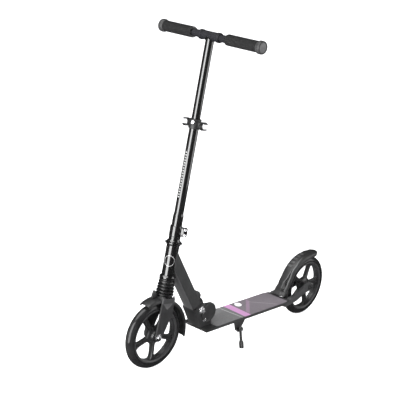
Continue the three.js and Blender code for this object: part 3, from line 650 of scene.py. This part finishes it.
def rim_shape(name, phase):
    web = moved(web_mesh(name + "_web"), SIDE @ Matrix.Rotation(phase, 4, "Z"))
    lip = [(81.6, 13, 0.6), (78.5, 13.2, 0.8), (75, 12, 0.8)]
    barrel = turned([*flipped(lip), *lip, (76.6, 9, 1.5), (76.6, -9, 1.5)], 128, 0.8, True)
    cone = [(27, 6, 3), (18, 12, 2), (15.5, 17, 1), (11.4, 17, 0.6)]
    hub = turned([*flipped(cone), *cone], 64, 0.6, True)
    ribs = [rib_shape(phase + PITCH * k, side) for k in range(SPOKES) for side in (-1, 1)]
    return joined(web, moved(barrel, ALONG_Y), moved(hub, ALONG_Y), *ribs)


def bearing_shape(low):
    """Two races with a shield between them."""
    races = [(10.95, 9.2, 0, 7, 48, 0.4), (6.1, 4.1, 0, 7, 48, 0.4), (9.4, 5.9, 0.5, 6.5, 40, 0.2)]
    return joined(*(ring(r, bore, low + a, low + b, n, cut) for r, bore, a, b, n, cut in races))


def wheel(end, place, body, phase):
    look(f"{end}_tyre", moved(tyre_shape(), ALONG_Y), place, body, TYRE)
    look(f"{end}_rim", rim_shape(end, math.radians(phase)), place, body, RIM, 40)
    for side, low in (("left", 10), ("right", -17)):
        bearing = moved(bearing_shape(low), ALONG_Y)
        look(f"{end}_bearing_{side}", bearing, place, body, ZINC)


def hexagon(across, low, high, cut=0.5):
    return slab(circle(across / math.sqrt(3), 6), low, high, cut)


def button_head(radius, low, high, socket):
    """A bolt head with a round edge and a socket sunk in its face."""
    rise = high - low
    depth = rise * 0.6
    return turned([
        (0, low), (radius, low, 0.3), (radius, low + rise * 0.45, 0.8), (radius * 0.72, high, 1.2),
        (socket, high, 0.3), (socket * 0.92, high - depth, 0.2), (0, high - depth),
    ], 40, 0.3)


def axle(end, place, body, half, finish):
    """A wheel's bolt, with its nut on the right. half is half the width that it clamps."""
    washer = ring(9.6, 4.2, half + 0.05, half + 1.5, 48, 0.3)
    head = button_head(7.2, half + 1.5, half + 6.4, 3.2)
    shank = rod(3.9, -half - 8.5, half + 2, 24, 0.6)
    bolt = moved(joined(washer, head, shank), ALONG_Y)
    look(f"{end}_axle_bolt", bolt, place, body, finish)
    collar = ring(8.6, 4.2, -half - 1.4, -half - 0.1, 40, 0.3)
    nut = moved(joined(hexagon(12.6, -half - 6.3, -half - 1.3, 0.6), collar), ALONG_Y)
    look(f"{end}_axle_nut", nut, place, body, BLACKENED)


# ---- mudguards: tables of (degrees round the wheel, millimetres) ----
WALL = 2.4


def guard_loop(half, radius, drop, corner, bulge):
    """One section of a mudguard as (across, radius): the outer skin, then the inner one back."""
    def skin(h, r, c):
        line = [(-h, radius - drop)]
        line += [(-h, r - c - (drop - c) * (1 - k / 3)) for k in (1, 2)]
        for k in range(6):
            p = polar(c, 90 * k / 5)
            line.append((-h + c - p.x, r - c + p.y))
        flat = h - c
        for k in range(1, 8):
            y = -flat + 2 * flat * k / 8
            line.append((y, r + bulge * (1 - (y / flat) ** 2)))
        return line + [(-y, rr) for y, rr in reversed(line[:9])]

    outer = skin(half, radius, corner)
    inner = skin(half - WALL, radius - WALL, max(corner - WALL, 1.0))
    return outer + inner[::-1]


def around(line, degrees):
    a = math.radians(degrees)
    return [Vector((r * math.cos(a), y, r * math.sin(a))) for y, r in line]


def between(table, value):
    """Smooth interpolation in a list of (key, value) pairs."""
    if value <= table[0][0]:
        return table[0][1]
    for (a, va), (b, vb) in zip(table, table[1:]):
        if value <= b:
            t = (value - a) / (b - a)
            return va + (vb - va) * t * t * (3 - 2 * t)
    return table[-1][1]


def span(start, end, count):
    return [start + (end - start) * k / (count - 1) for k in range(count)]


def guard_skin(angles, crown, half, drop, corner, bulge=1.2):
    """A mudguard's shell from the tables of its crown, half width, drop and corner radius."""
    return loft([
        around(guard_loop(*(between(table, a) for table in (half, crown, drop, corner)), bulge), a)
        for a in angles
    ])


def guard_line(crown, offset, low, high, count, radius):
    """A raised line along a mudguard: offset gives its distance from the middle at each angle."""
    path = [around([(between(offset, a), between(crown, a))], a)[0] for a in span(low, high, count)]
    ends = [min(i + 0.3, count - i - 0.7) / count for i in range(count)]
    return tube(path, [radius * min(1, 4 * end + 0.15) for end in ends], 8)


def guard_pads(crown):
    """Five raised treads across the brake guard."""
    outline = rounded([(-4.2, -14, 2), (4.2, -14, 2), (4.2, 4, 2), (-4.2, 4, 2)])
    pads = []
    for a in (46, 54, 62, 70, 78):
        c, s = math.cos(math.radians(a)), math.sin(math.radians(a))
        radius = between(crown, a) + 0.3
        seat = shift(c * radius, 0, s * radius) @ turn(90 - a, "Y")
        pads.append(moved(slab(outline, 0, 3, 0.2, 1), seat))
    return joined(*pads)


def brake_guard_shapes():
    """The guard's shell, the two lines on it, a dark strip between them as painted shade of a
    recess, and the treads.
    """
    crown = [
        (-3.4, 134.4), (3, 123.8), (12, 114.8), (26, 111.4), (85, 111.4), (98, 115), (112, 121.4),
    ]
    half = [(-3.4, 24.2), (12, 22.6), (30, 22.2), (98, 22), (106, 19.5), (110, 16), (112, 10.5)]
    drop = [(-3.4, 7.5), (12, 10), (30, 12), (98, 13), (112, 15.5)]
    corner = [(-3.4, 5), (30, 8), (98, 9), (112, 7)]
    shell = guard_skin(span(-3.4, 108, 56) + [109.5, 110.7, 111.5, 112], crown, half, drop, corner)
    left = [(-3, 6), (2, 3.5), (8, 0), (14.6, -0.5), (20.6, 4), (26, 7), (35.6, 8.5), (44, 13)]
    right = [
        (-3, 15), (5.6, 15.5), (15, 16.5), (26, 16.5), (37, 14.5), (50, 15.5), (62, 12.5), (74, 10),
    ]
    short = guard_line(crown, left, -2.6, 44, 48, 1.6)
    long = guard_line(crown, right, -2.6, 74, 60, 1.7)
    # A dark sheet over the shell between the two lines: painted shade in place of a recess.
    strip = []
    for a in span(-2.2, 40, 30):
        low, high, r = between(left, a), between(right, a), between(crown, a) + 1.2
        strip.append(around([(low, r - 1.2), (low, r), (high, r - 0.6), (high, r - 2.2)], a))
    return shell, joined(short, long), loft(strip), guard_pads(crown)


def brake_ears():
    line = rounded([
        (-251.5, 71, 4), (-239.2, 71, 4), (-239.2, 91), (-236, 97), (-240, 107), (-249, 110, 3),
    ])
    return joined(*(moved(slab(line, low, low + 4.6, 0.8), SIDE) for low in (19.5, -24.1)))


def visor_shape():
    crown = [(59.5, 110), (66, 111), (76, 112.6), (84, 113.4)]
    half = [(59.5, 20.5), (66, 21.4), (84, 21.2)]
    drop = [(59.5, 9.5), (84, 10.5)]
    return guard_skin(span(59.5, 84, 20), crown, half, drop, [(59.5, 8)], 1.6)


def flap_shape():
    crown = [(108, 112.8), (120, 112.6), (150, 113.2), (168, 113.6), (185, 114.6)]
    half = [(108, 20), (118, 21.6), (185, 21.6)]
    drop = [(108, 10), (150, 11), (185, 10)]
    return guard_skin(span(108, 185, 46), crown, half, drop, [(108, 6)])


# ---- build: wheels and mudguards ----
wheel("front", FRONT_WHEEL, "front_wheel", FRONT_PHASE)
wheel("rear", REAR_WHEEL, "rear_wheel", REAR_PHASE)
axle("front", FRONT_WHEEL, "front_fork", 26, CHROME)
axle("rear", REAR_WHEEL, "deck", 30, BLACKENED)
guard_shell, *guard_marks = brake_guard_shapes()
look("brake_guard", guard_shell, REAR_WHEEL, "brake", MOULD)
# The strip between the lines is a dark sheet of painted shade; the lines and treads are painted
# lighter as painted highlights.
for name, mark, finish in zip(("ridges", "painted_recess_shade", "pads"), guard_marks, (RIDGE_HIGHLIGHT, BOOT, PAD)):
    piece(f"brake_guard_{name}", mark, REAR_WHEEL, "brake", finish)
piece("brake_guard_ears", brake_ears(), UPRIGHT, "brake", MOULD)

fin_line = rounded([
    (28.4, 106, 2), (40, 106, 2), (49, 112, 2), (46, 134, 4), (40, 134, 3), (33, 120, 6),
    (28.4, 117, 1),
])
fin = moved(slab(fin_line, -3, 3, 1), SIDE)
look("front_guard_visor", visor_shape(), FRONT_WHEEL, "front_fork", MOULD)
piece("front_guard_fin", fin, COLUMN, "front_fork", MOULD)
look("front_guard_flap", flap_shape(), FRONT_WHEEL, "front_fork", MOULD)


# ---- fork ----
def fork_shape():
    """Crown and blades as one casting."""
    arch = rounded([
        (-26, 50, 1), (-26, 113, 2), (26, 113, 2), (26, 50, 1), (20, 50, 1), (20, 98, 9),
        (14, 104, 5), (-14, 104, 5), (-20, 98, 9), (-20, 50, 1),
    ])
    crown = moved(slab(arch, -22, 26, 2), ACROSS)
    blade_line = rounded([
        (-21, 104, 3), (27, 104, 3), (27, 74, 14), (29.8, -2, 16), (27, -15.3, 12),
        (7, -15.3, 12), (2.4, -2, 10), (-3, 13, 10), (-16.5, 52, 16), (-20, 90, 8),
    ], steps=8)
    blades = [moved(slab(blade_line, low, low + 6, 1.4), SIDE) for low in (20, -26)]
    at_axle = FORK_AXLE @ ALONG_Y
    lugs = [moved(rod(11.5, low, low + 2, 40, 0.8), at_axle) for low in (24.6, -26.6)]
    bosses = [moved(rod(8, low, low + 4, 32), at_axle) for low in (17.8, -21.8)]
    corners = []
    for x_in, x_out in ((14, 26), (-9, -21)):
        for y_in, y_out in ((13, 24.5), (-13, -24.5)):
            reach = 28.2 / math.hypot(x_out, y_out)
            foot = rounded([
                (x_out, y_out, 2.5), (x_in + (x_out - x_in) * 0.25, y_out, 1.5),
                (x_out * reach, y_out * reach, 3), (x_out, y_in + (y_out - y_in) * 0.25, 1.5),
            ])
            corners.append(slab(foot, 110, 119, 1.4))
    return joined(crown, *blades, *lugs, *bosses, *corners)


def crown_pocket(side):
    """A tapering hollow under the crown's shoulder, deepest at its top edge."""
    top, apex = 99.5, 79
    rim = [(-17, side * 27, top), (24, side * 27, top), (4, side * 27, apex)]
    floor = [(-15, side * 22, top - 0.5), (22, side * 22, top - 0.5), (4, side * 26.3, apex + 2)]
    faces = [[0, 1, 2], [3, 5, 4], [0, 3, 4, 1], [1, 4, 5, 2], [2, 5, 3, 0]]
    return [Vector(p) for p in rim + floor], faces


fork_mesh = fused("fork_look", fork_shape(), 0.8, 4, [crown_pocket(1), crown_pocket(-1)])
look("fork", fork_mesh, COLUMN, "front_fork", FORK_PAINT)


def boot_shape():
    line = [(20.5, 113.4, 0.6), (24.2, 113.4, 1), (24.2, 116.5, 1)]
    ribs = [(121.8, 26.6), (130.6, 26.3), (139.4, 25.4), (148.2, 24.4), (157, 23.6)]
    for level, radius in ribs:
        line += [(18.9, level - 4.2, 1.2), (radius, level - 1.2, 1), (radius, level + 0.9, 1)]
    line += [(19.6, 161.6, 1.2), (22.8, 163.4, 0.8), (22.8, 166.6, 0.8), (20.4, 166.6, 0.6)]
    back = [(max(r - 2.4, 17.4), z, 0.8) for r, z, _ in reversed(line[1:-1])]
    return turned(line + back, 72, 0.8, True)


boot = look("suspension_boot", boot_shape(), COLUMN, "steering", BOOT)
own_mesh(boot)


def spring_shape():
    """An open coil whose first and last turns lie flat."""
    turns, radius, wire, low, high = 5, 15, 1.9, 116.2, 157.0
    steps = turns * 28
    path = []
    for i in range(steps + 1):
        t = i / steps
        rise = min(1, max(0, (t * turns - 0.7) / (turns - 1.4)))
        path.append(polar(radius, 360 * turns * t, low + (high - low) * rise))
    return tube(path, wire, 10)


spring = look("suspension_spring", spring_shape(), COLUMN, "steering", ZINC)
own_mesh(spring)

# ---- head tube and steering column ----
for node, place, body, slot, finish, profile in (
    ("head_tube", AXIS, "front_frame", "gloss_black", HEAD_PAINT, [
        (16.75, 177.7, 0.3), (18.7, 177.7, 0.4), (18.7, 265.9, 0.4), (16.75, 265.9, 0.3),
    ]),
    ("headset_cup_lower", AXIS, "front_frame", "gloss_black", GLOSS, [
        (16.75, 167.7, 0.3), (22.4, 167.7, 0.8), (23.1, 169.5, 0.5), (23.1, 173.4, 0.8),
        (20.6, 176, 0.5), (19.4, 177.3, 0.4), (16.75, 177.3, 0.3),
    ]),
    ("headset_cup_upper", AXIS, "front_frame", "gloss_black", GLOSS, [
        (16.75, 266.4, 0.3), (20.2, 266.4, 0.8), (21, 269, 0.6), (24.4, 271.2, 0.7),
        (24.6, 274.6, 0.8), (23.4, 275.1, 0.3), (16.75, 275.1, 0.3),
    ]),
    ("headset_cap", COLUMN, "steering", "plastic", GLOSS, [
        (13.2, 275.7, 0.3), (19.6, 275.7, 0.6), (19.9, 278, 0.6), (17, 281.2, 0.8),
        (16.3, 285.5, 0.4), (17, 286.2, 0.3), (17, 291.4, 0.4), (13.2, 291.4, 0.3),
    ]),
    ("column_tube", COLUMN, "steering", "gloss_black", COLUMN_PAINT, [
        (13.1, 292.4, 0.3), (15.1, 292.4, 0.3), (15.1, 352, 1.5), (13.7, 357, 1.5),
        (13.5, 359.5, 0.5), (13.5, 611.5, 0.4), (12.6, 611.5, 0.3), (12.6, 331, 0.3),
        (13.1, 327, 0.3),
    ]),
):
    look(node, turned(profile, 96, 0.4, True), place, body, finish)

EARS = turn(131, "Z")
band = turned([
    (15.6, 292.2, 0.4), (17.3, 292.2, 0.8), (17.6, 294.5, 0.8), (17.6, 319.5, 0.8),
    (17.3, 321.8, 0.8), (15.6, 321.8, 0.4),
], 96, 0.5, True)
ear_line = rounded([(14.5, 294.5, 2), (33, 294.5, 5), (33, 319.5, 5), (14.5, 319.5, 2)])
ears = [moved(slab(ear_line, low, high, 0.9), SIDE) for low, high in ((-6.9, -1.4), (1.4, 6.9))]
clamp = moved(joined(band, *ears), EARS)
look("collar_clamp", clamp, COLUMN, "steering", GLOSS)
for name, level in (("upper", 315), ("lower", 300)):
    bolt = joined(
        rod(2.5, -7, 12.5, 20, 0.4), moved(button_head(4.9, 7, 11.4, 2.1), turn(180, "X")),
        hexagon(8, 7, 10.6, 0.4), ring(5.3, 2.6, 6.9, 7.6, 32, 0.2),
    )
    seat = EARS @ shift(27, 0, level) @ ALONG_Y
    look(f"clamp_bolt_{name}", moved(bolt, seat), COLUMN, "steering", CHROME)


def clip_shape(side):
    """A springy C that a grip's bar snaps into, open away from the column."""
    inner, outer, half_width = 9.4, 11.9, 7
    first, last = 48, 312

    def at(radius, degrees, x):
        p = polar(radius, degrees)
        return Vector((x, side * (34 + p.x), CLIP_LEVEL + p.y))

    rings = []
    for a in span(first, last, 40):
        low = inner + (0.9 if a in (first, last) else 0)
        section = rounded([
            (-half_width, low, 0.8), (half_width, low, 0.8),
            (half_width, outer, 0.8), (-half_width, outer, 0.8),
        ], steps=3)
        rings.append([at(p.y, a, p.x) for p in section])
    arm_line = rounded([
        (side * 13.5, 606.5, 1), (side * 24.5, 608.6, 0.6),
        (side * 24.5, 621.4, 0.6), (side * 13.5, 623.5, 1),
    ])
    beads = [tube([at(10.7, a, x) for x in (-6.6, 6.6)], 1.9, 14) for a in (first, last)]
    return joined(loft(rings), moved(slab(arm_line, -5.5, 5.5, 0.8), ACROSS), *beads)


holder = turned([
    (13.9, 602.2, 0.3), (16.8, 602.2, 0.6), (17.3, 606, 0.6), (17.8, 612, 1),
    (17.3, 624.5, 1), (16.6, 629.6, 0.8), (12.7, 629.6, 0.3), (12.7, 612.4, 0.2),
    (13.9, 612.4, 0.2),
], 80, 0.4, True)
grooves = [ring(18, 16.8, z, z + 1, 80, 0.2) for z in (608, 611)]
PIN = turn(25, "Z") @ shift(0, 0, PIN_LEVEL) @ turn(90, "Y")
boss = moved(ring(6.2, 3.7, 13.4, 17.8, 40, 0.5), PIN)
holder = joined(holder, *grooves, boss, clip_shape(1), clip_shape(-1))
look("column_holder", holder, COLUMN, "steering", MOULD)
pin = turned([
    (0, 12.9), (3.2, 12.9, 0.3), (3.2, 18, 0.1), (5.5, 18, 0.4), (5.7, 19.2, 0.3),
    (5.3, 20.9, 0.4), (4.6, 22.3, 0.8), (0, 22.6),
], 40, 0.3)
look("height_pin", moved(pin, PIN), COLUMN, "pin", CHROME)

# ---- handlebar ----
STEM_R = 12.2
STEM_TOP = BAR_LEVEL - 6
stem = turned([
    (10.7, 525.2, 0.2), (STEM_R, 525.2, 0.6), (STEM_R, STEM_TOP, 0), (10.7, STEM_TOP, 0),
], 96, 0.3, True)
sleeve_bore = moved(rod(12.6, -20, 20, 64, 0), shift(0, 0, BAR_LEVEL) @ ALONG_Y)
stem_mesh = cut_by("stem_tube_look", stem, sleeve_bore)
look("stem_tube", stem_mesh, COLUMN, "handlebar", GLOSS)
bead = []
for p in circle(STEM_R, 64):
    level = BAR_LEVEL - math.sqrt(max(12.9 ** 2 - p.x * p.x, 0)) + 0.2
    bead.append((p.x * 1.02, p.y * 1.02, level))
sleeve_end = [
    (12.7, 26.5, 0.4), (12, 27.2, 0.3), (14, 28, 0.7), (14.2, 33, 0.5), (14.2, 36.4, 0.7),
    (12.9, 37.4, 0.3), (12.9, 39.6, 0.6), (10.7, 39.6, 0.3),
]
sleeve = turned([*flipped(sleeve_end), *sleeve_end], 80, 0.4, True)
look("bar_sleeve", moved(sleeve, ALONG_Y), BAR, "handlebar", SLEEVE)
piece("stem_weld", tube(bead, 1.7, 10, True), COLUMN, "handlebar", GLOSS)


def foam_shape():
    """A foam grip with fine moulded ribs between two plain ends."""
    line = [(10.7, 66.3, 0.4), (14.6, 66.3, 0.6), (15.7, 67.6, 0.9)]
    pitch = 4.2
    level = 72.0
    rib = ((15.75, 0, 0.4), (15.75, 0.62, 0.4), (15.3, 0.74, 0.3), (15.3, 0.88, 0.3))
    while level < 172:
        line += [(radius, level + pitch * t, cut) for radius, t, cut in rib]
        level += pitch
    line += [(15.7, 175.5, 0.6), (15.7, 178.7, 0.5), (10.7, 178.7, 0.4)]
    return turned(line, 72, 0.4, True)


def outward(side):
    """+Z to the left for side 1, to the right for side -1."""
    return ALONG_Y if side > 0 else AGAINST_Y


def grip(name, side):
    out = outward(side)
    body = f"grip_{name}"
    bar = turned([
        (8.9, 3.3, 0.2), (10.35, 3.3, 0.4), (10.35, 189.8, 0.4), (8.9, 189.8, 0.2),
    ], 64, 0.3, True)
    look(f"grip_bar_{name}", moved(bar, out), BAR, body, SLEEVE)
    foam = look(f"grip_foam_{name}", moved(foam_shape(), out), BAR, body, FOAM)
    washer = ring(15, 10.7, 65.6, 66.2, 64, 0.2)
    piece(f"grip_washer_{name}", moved(washer, out), BAR, body, BOOT)
    end = turned([
        (0, 190.5), (10.7, 190.5, 0.2), (10.7, 179.3, 0.3), (16, 179.3, 0.6), (17, 180.8, 0.8),
        (18.4, 183.4, 1.2), (18.5, 191, 1), (17.6, 194.6, 1.2), (15.6, 195.9, 0.8),
        (14.7, 195, 0.3), (14.5, 193.9, 0.2), (0, 193.9),
    ], 80, 0.5)
    look(f"grip_cap_{name}", moved(end, out), BAR, body, CAP)
    disc = turned([
        (0, 193.6), (14.1, 193.6, 0.2), (14.1, 194.4, 0.4), (12.9, 194.9, 0.5), (0, 195.3),
    ], 64, 0.3)
    piece(f"grip_cap_disc_{name}", moved(disc, out), BAR, body, CAP_DISC)


grip("left", 1)
grip("right", -1)


# ---- down tube and hinge ----
def prism(line, low, high):
    return loft([[(p.x, p.y, z) for p in line] for z in (low, high)])


def block(x0, x1, low, high):
    """A cutting block that is wider than the scooter's frame."""
    return prism([Vector(p) for p in ((x0, -60), (x1, -60), (x1, 60), (x0, 60))], low, high)


TUBE_LINE = rounded([(-18, -20.5, 5), (18, -20.5, 5), (18, 20.5, 5), (-18, 20.5, 5)])
tube_place = shift(*TUBE_FOOT) @ turn(TUBE_TILT, "Y")
foot_place = shift(213.8, 0, 148.3) @ turn(25.2, "Y")
tube_mesh = cut_by(
    "down_tube_look", moved(prism(TUBE_LINE, -70, 190), tube_place),
    moved(prism(inset(TUBE_LINE, 3), -80, 200), tube_place),
    moved(rod(18.95, 120, 340, 96, 0), AXIS_PLACE), moved(rod(23.4, 150, 177.6, 96, 0), AXIS_PLACE),
    moved(block(0, 130, 100, 350), AXIS_PLACE), moved(block(-90, 90, -90, 1), foot_place),
)
look("down_tube", tube_mesh, UPRIGHT, "front_frame", TUBE_PAINT)


def tube_weld():
    """A bead where the down tube's outline meets the round head tube."""
    to_axis = AXIS_PLACE.inverted() @ tube_place
    ahead = (to_axis.to_3x3() @ Vector((0, 0, 1))).normalized()
    points = []
    for p in TUBE_LINE:
        here = (to_axis @ (Vector((p.x, p.y, 0)) * MM)) / MM
        side = min(abs(here.y), 18.4)
        reach = -math.sqrt(18.7 ** 2 - side ** 2)
        hit = here + ahead * ((reach - here.x) / ahead.x)
        hit.y = math.copysign(side, hit.y)
        points.append(hit)
    return tube(points, 1.5, 8, True)


piece("head_weld", tube_weld(), AXIS, "front_frame", FRAME)
refined("hinge_knuckle", "front_frame", CAST, 0.8, 3)
refined("release_catch", "catch", PAD, 1.6, 4)
refined("hinge_bracket", "deck", CAST, 0.9, 3)


def cover_disc(side):
    """The cover on each cheek: a round plate with a stepped edge."""
    disc = turned([
        (0, 25.9), (29.4, 25.9, 0.1), (29.9, 27, 0.5), (29.9, 29.2, 0.9), (28.4, 30.6, 0.8),
        (26.4, 30.6, 0.4), (25.6, 30, 0.4), (0, 29.8),
    ], 96, 0.4)
    return moved(disc, CHEEK_MIDDLE @ outward(side))


piece("hinge_cover_left", cover_disc(1), UPRIGHT, "deck", CAST)
piece("hinge_cover_right", cover_disc(-1), UPRIGHT, "deck", CAST)


def cross_bolt(radius, left, rise, shank):
    head = button_head(radius, left, left + rise, radius * 0.42)
    collar = ring(radius + 1.4, shank, left - 0.2, left + 0.9, 48, 0.3)
    nut = moved(hexagon(radius * 1.7, left - 1, left + rise * 0.6, 0.5), turn(180, "X"))
    return moved(joined(head, collar, rod(shank, -left, left + 0.5, 24, 0.2), nut), ALONG_Y)


for node, place, bolt in (
    ("fold_pivot_bolt", FOLD_PIVOT, cross_bolt(9.6, 26.3, 7, 4.9)),
    ("hinge_lock_bolt", LOCK_BOLT, cross_bolt(5.8, 26.3, 4.4, 3.4)),
):
    look(node, bolt, UPRIGHT @ place, "deck", BRIGHT)

# ---- deck ----
refined("deck_board", "deck", FRAME, 0.7, 3)
refined("deck_nose", "deck", NOSE, 1.0, 3)
tape_line = rounded([
    (-221, -44.5, 3), (-209, -47.5, 4), (132, -47.5, 8), (132, 47.5, 8),
    (-209, 47.5, 4), (-221, 44.5, 3),
], steps=6)
tape = slab(tape_line, DECK_TOP + 0.3, DECK_TOP + 1.3, 0.25)
look("grip_tape", tape, UPRIGHT, "deck", TAPE)
# The rear arms take the lighter powder: painted light on their sides.
for side in ("left", "right"):
    refined(f"rear_arm_{side}", "deck", ARM_LIT_POWDER, 1.2, 4)
for node in ("frame_bolt_1", "frame_bolt_2", "brake_pin", "kickstand_bolt"):
    refined(node, "deck", BLACKENED, 0.4, 2)

# ---- kickstand ----
refined("kickstand_bracket", "deck", FRAME, 0.7, 3)
refined("kickstand_leg", "kickstand", GLOSS, 0.6, 3)
refined("kickstand_foot", "kickstand", BOOT, 0.6, 3)

# ---- hidden metal keeps its CAD shape ----
for node in ("steerer_tube", "headset_bearing_lower", "headset_bearing_upper", "fork_stem",
             "brake_spring"):
    NODES[node].data.materials.clear()
    NODES[node].data.materials.append(ZINC)
    smooth(NODES[node].data, 40)


# ---- printed marks ----
def print_column(paint):
    """A run of plain ticks up the column's front left."""
    angle = paint.math("ARCTAN2", paint.y, paint.x)
    strip = paint.within(angle, math.radians(-14), math.radians(12), 0.03)
    wave = paint.math("SINE", paint.times(paint.z, 2 * math.pi / 7.5))
    ticks = paint.times(strip, paint.within(wave, 0.1, 2, 0.3), paint.within(paint.z, 403, 541, 1))
    paint.over(ticks, (0.42, 0.42, 0.42), 0.8)


def print_head(paint):
    """A plain ring on the head tube's front left."""
    angle = paint.math("ARCTAN2", paint.y, paint.x)
    wide = paint.times(paint.math("SUBTRACT", angle, math.radians(30)), 18.7)
    high = paint.math("SUBTRACT", paint.z, 222.0)
    radius = paint.distance(wide, high)
    paint.over(paint.within(radius, 14.6, 15.8), (0.6, 0.6, 0.6), 0.8)


print_column(Paint(COLUMN_PAINT))
print_head(Paint(HEAD_PAINT))

# ---- stage: pale floor, soft lights, camera ----
FOCUS = Vector((142.243, -127.182, 458.544)) * MM
AZIMUTH, ELEVATION, DISTANCE, LENS = 131.38, 11.15, 3.30411, 100.8


def towards(azimuth, elevation):
    a, e = math.radians(azimuth), math.radians(elevation)
    return Vector((math.sin(a) * math.cos(e), -math.cos(a) * math.cos(e), math.sin(e)))


def aim(obj, place, target):
    obj.location = place
    obj.rotation_euler = (target - place).to_track_quat("-Z", "Y").to_euler()


camera_data = bpy.data.cameras.new("camera")
camera_data.lens = LENS
camera_data.sensor_width = 36
camera_data.clip_end = 100
camera = placed("camera", camera_data)
aim(camera, FOCUS + towards(AZIMUTH, ELEVATION) * DISTANCE, FOCUS)
SCENE.camera = camera


def lamp(name, kind, power, azimuth, elevation, distance):
    obj = placed(name, bpy.data.lights.new(name, kind))
    obj.data.energy = power
    aim(obj, FOCUS + towards(azimuth, elevation) * distance, FOCUS)
    return obj


def softbox(name, azimuth, elevation, distance, width, height, power):
    obj = lamp(name, "AREA", power, azimuth, elevation, distance)
    obj.data.shape = "RECTANGLE"
    obj.data.size, obj.data.size_y = width, height
    obj.visible_camera = False
    return obj


def sunlight(name, power):
    """A broad soft light from high up on the camera's left."""
    obj = lamp(name, "SUN", power, AZIMUTH - 40, 70, 3)
    obj.data.angle = math.radians(50)
    return obj


softbox("key", AZIMUTH - 36, 2, 3.0, 2.0, 3.4, 190)
softbox("fill", AZIMUTH + 90, 8, 3.2, 2.8, 3.0, 60)
softbox("front", AZIMUTH - 60, 0, 3.0, 2.4, 2.4, 140).visible_glossy = False


def only_for(light, lit, casting):
    """A light that reaches some objects only, with shadows from others only."""
    groups = []
    for label, members in (("lit", lit), ("casting", casting)):
        group = bpy.data.collections.new(f"{light.name}_{label}")
        for member in members:
            group.objects.link(member)
        groups.append(group)
    light.light_linking.receiver_collection, light.light_linking.blocker_collection = groups


FLOOR_PAINT = surface("floor_pale", 0.9, 0.94, 3, (0.8, 0.9), (60, 0.05, 0.2))
floor_rim = [polar(60, a) for a in range(0, 360, 4)]  # 60 m round the scooter
floor_mesh = bpy.data.meshes.new("floor")
floor_mesh.from_pydata(floor_rim, [], [list(range(len(floor_rim)))])
floor_mesh.materials.append(FLOOR_PAINT)
floor = placed("floor", floor_mesh)
floor.visible_glossy = False
sunlight("overhead", 1.6)
scooter_sun = sunlight("overhead_object", 1.4)
floor_sun = sunlight("floor_wash", 3.2)
floor_sun.data.angle = math.radians(60)
only_for(floor_sun, [floor], [floor])
pieces = [obj for obj in SCENE.objects if obj.type == "MESH" and obj is not floor]
only_for(scooter_sun, pieces, pieces)

world = bpy.data.worlds.new("world")
world.use_nodes = True
SCENE.world = world
sky = world.node_tree
ray = add(sky, "LightPath")


def backdrop(level):
    return add(sky, "Background", Color=(level, level, level, 1)).outputs[0]


def pick(which, otherwise, chosen):
    """One backdrop for the rays of a kind and another for the rest."""
    mix = add(sky, "MixShader")
    sky.links.new(ray.outputs[which], mix.inputs[0])
    sky.links.new(otherwise, mix.inputs[1])
    sky.links.new(chosen, mix.inputs[2])
    return mix.outputs[0]


dim = pick("Is Glossy Ray", backdrop(0.45), backdrop(0.05))
sky.links.new(pick("Is Camera Ray", dim, backdrop(1.0)), sky.nodes["World Output"].inputs[0])
SCENE.view_settings.view_transform = "Standard"
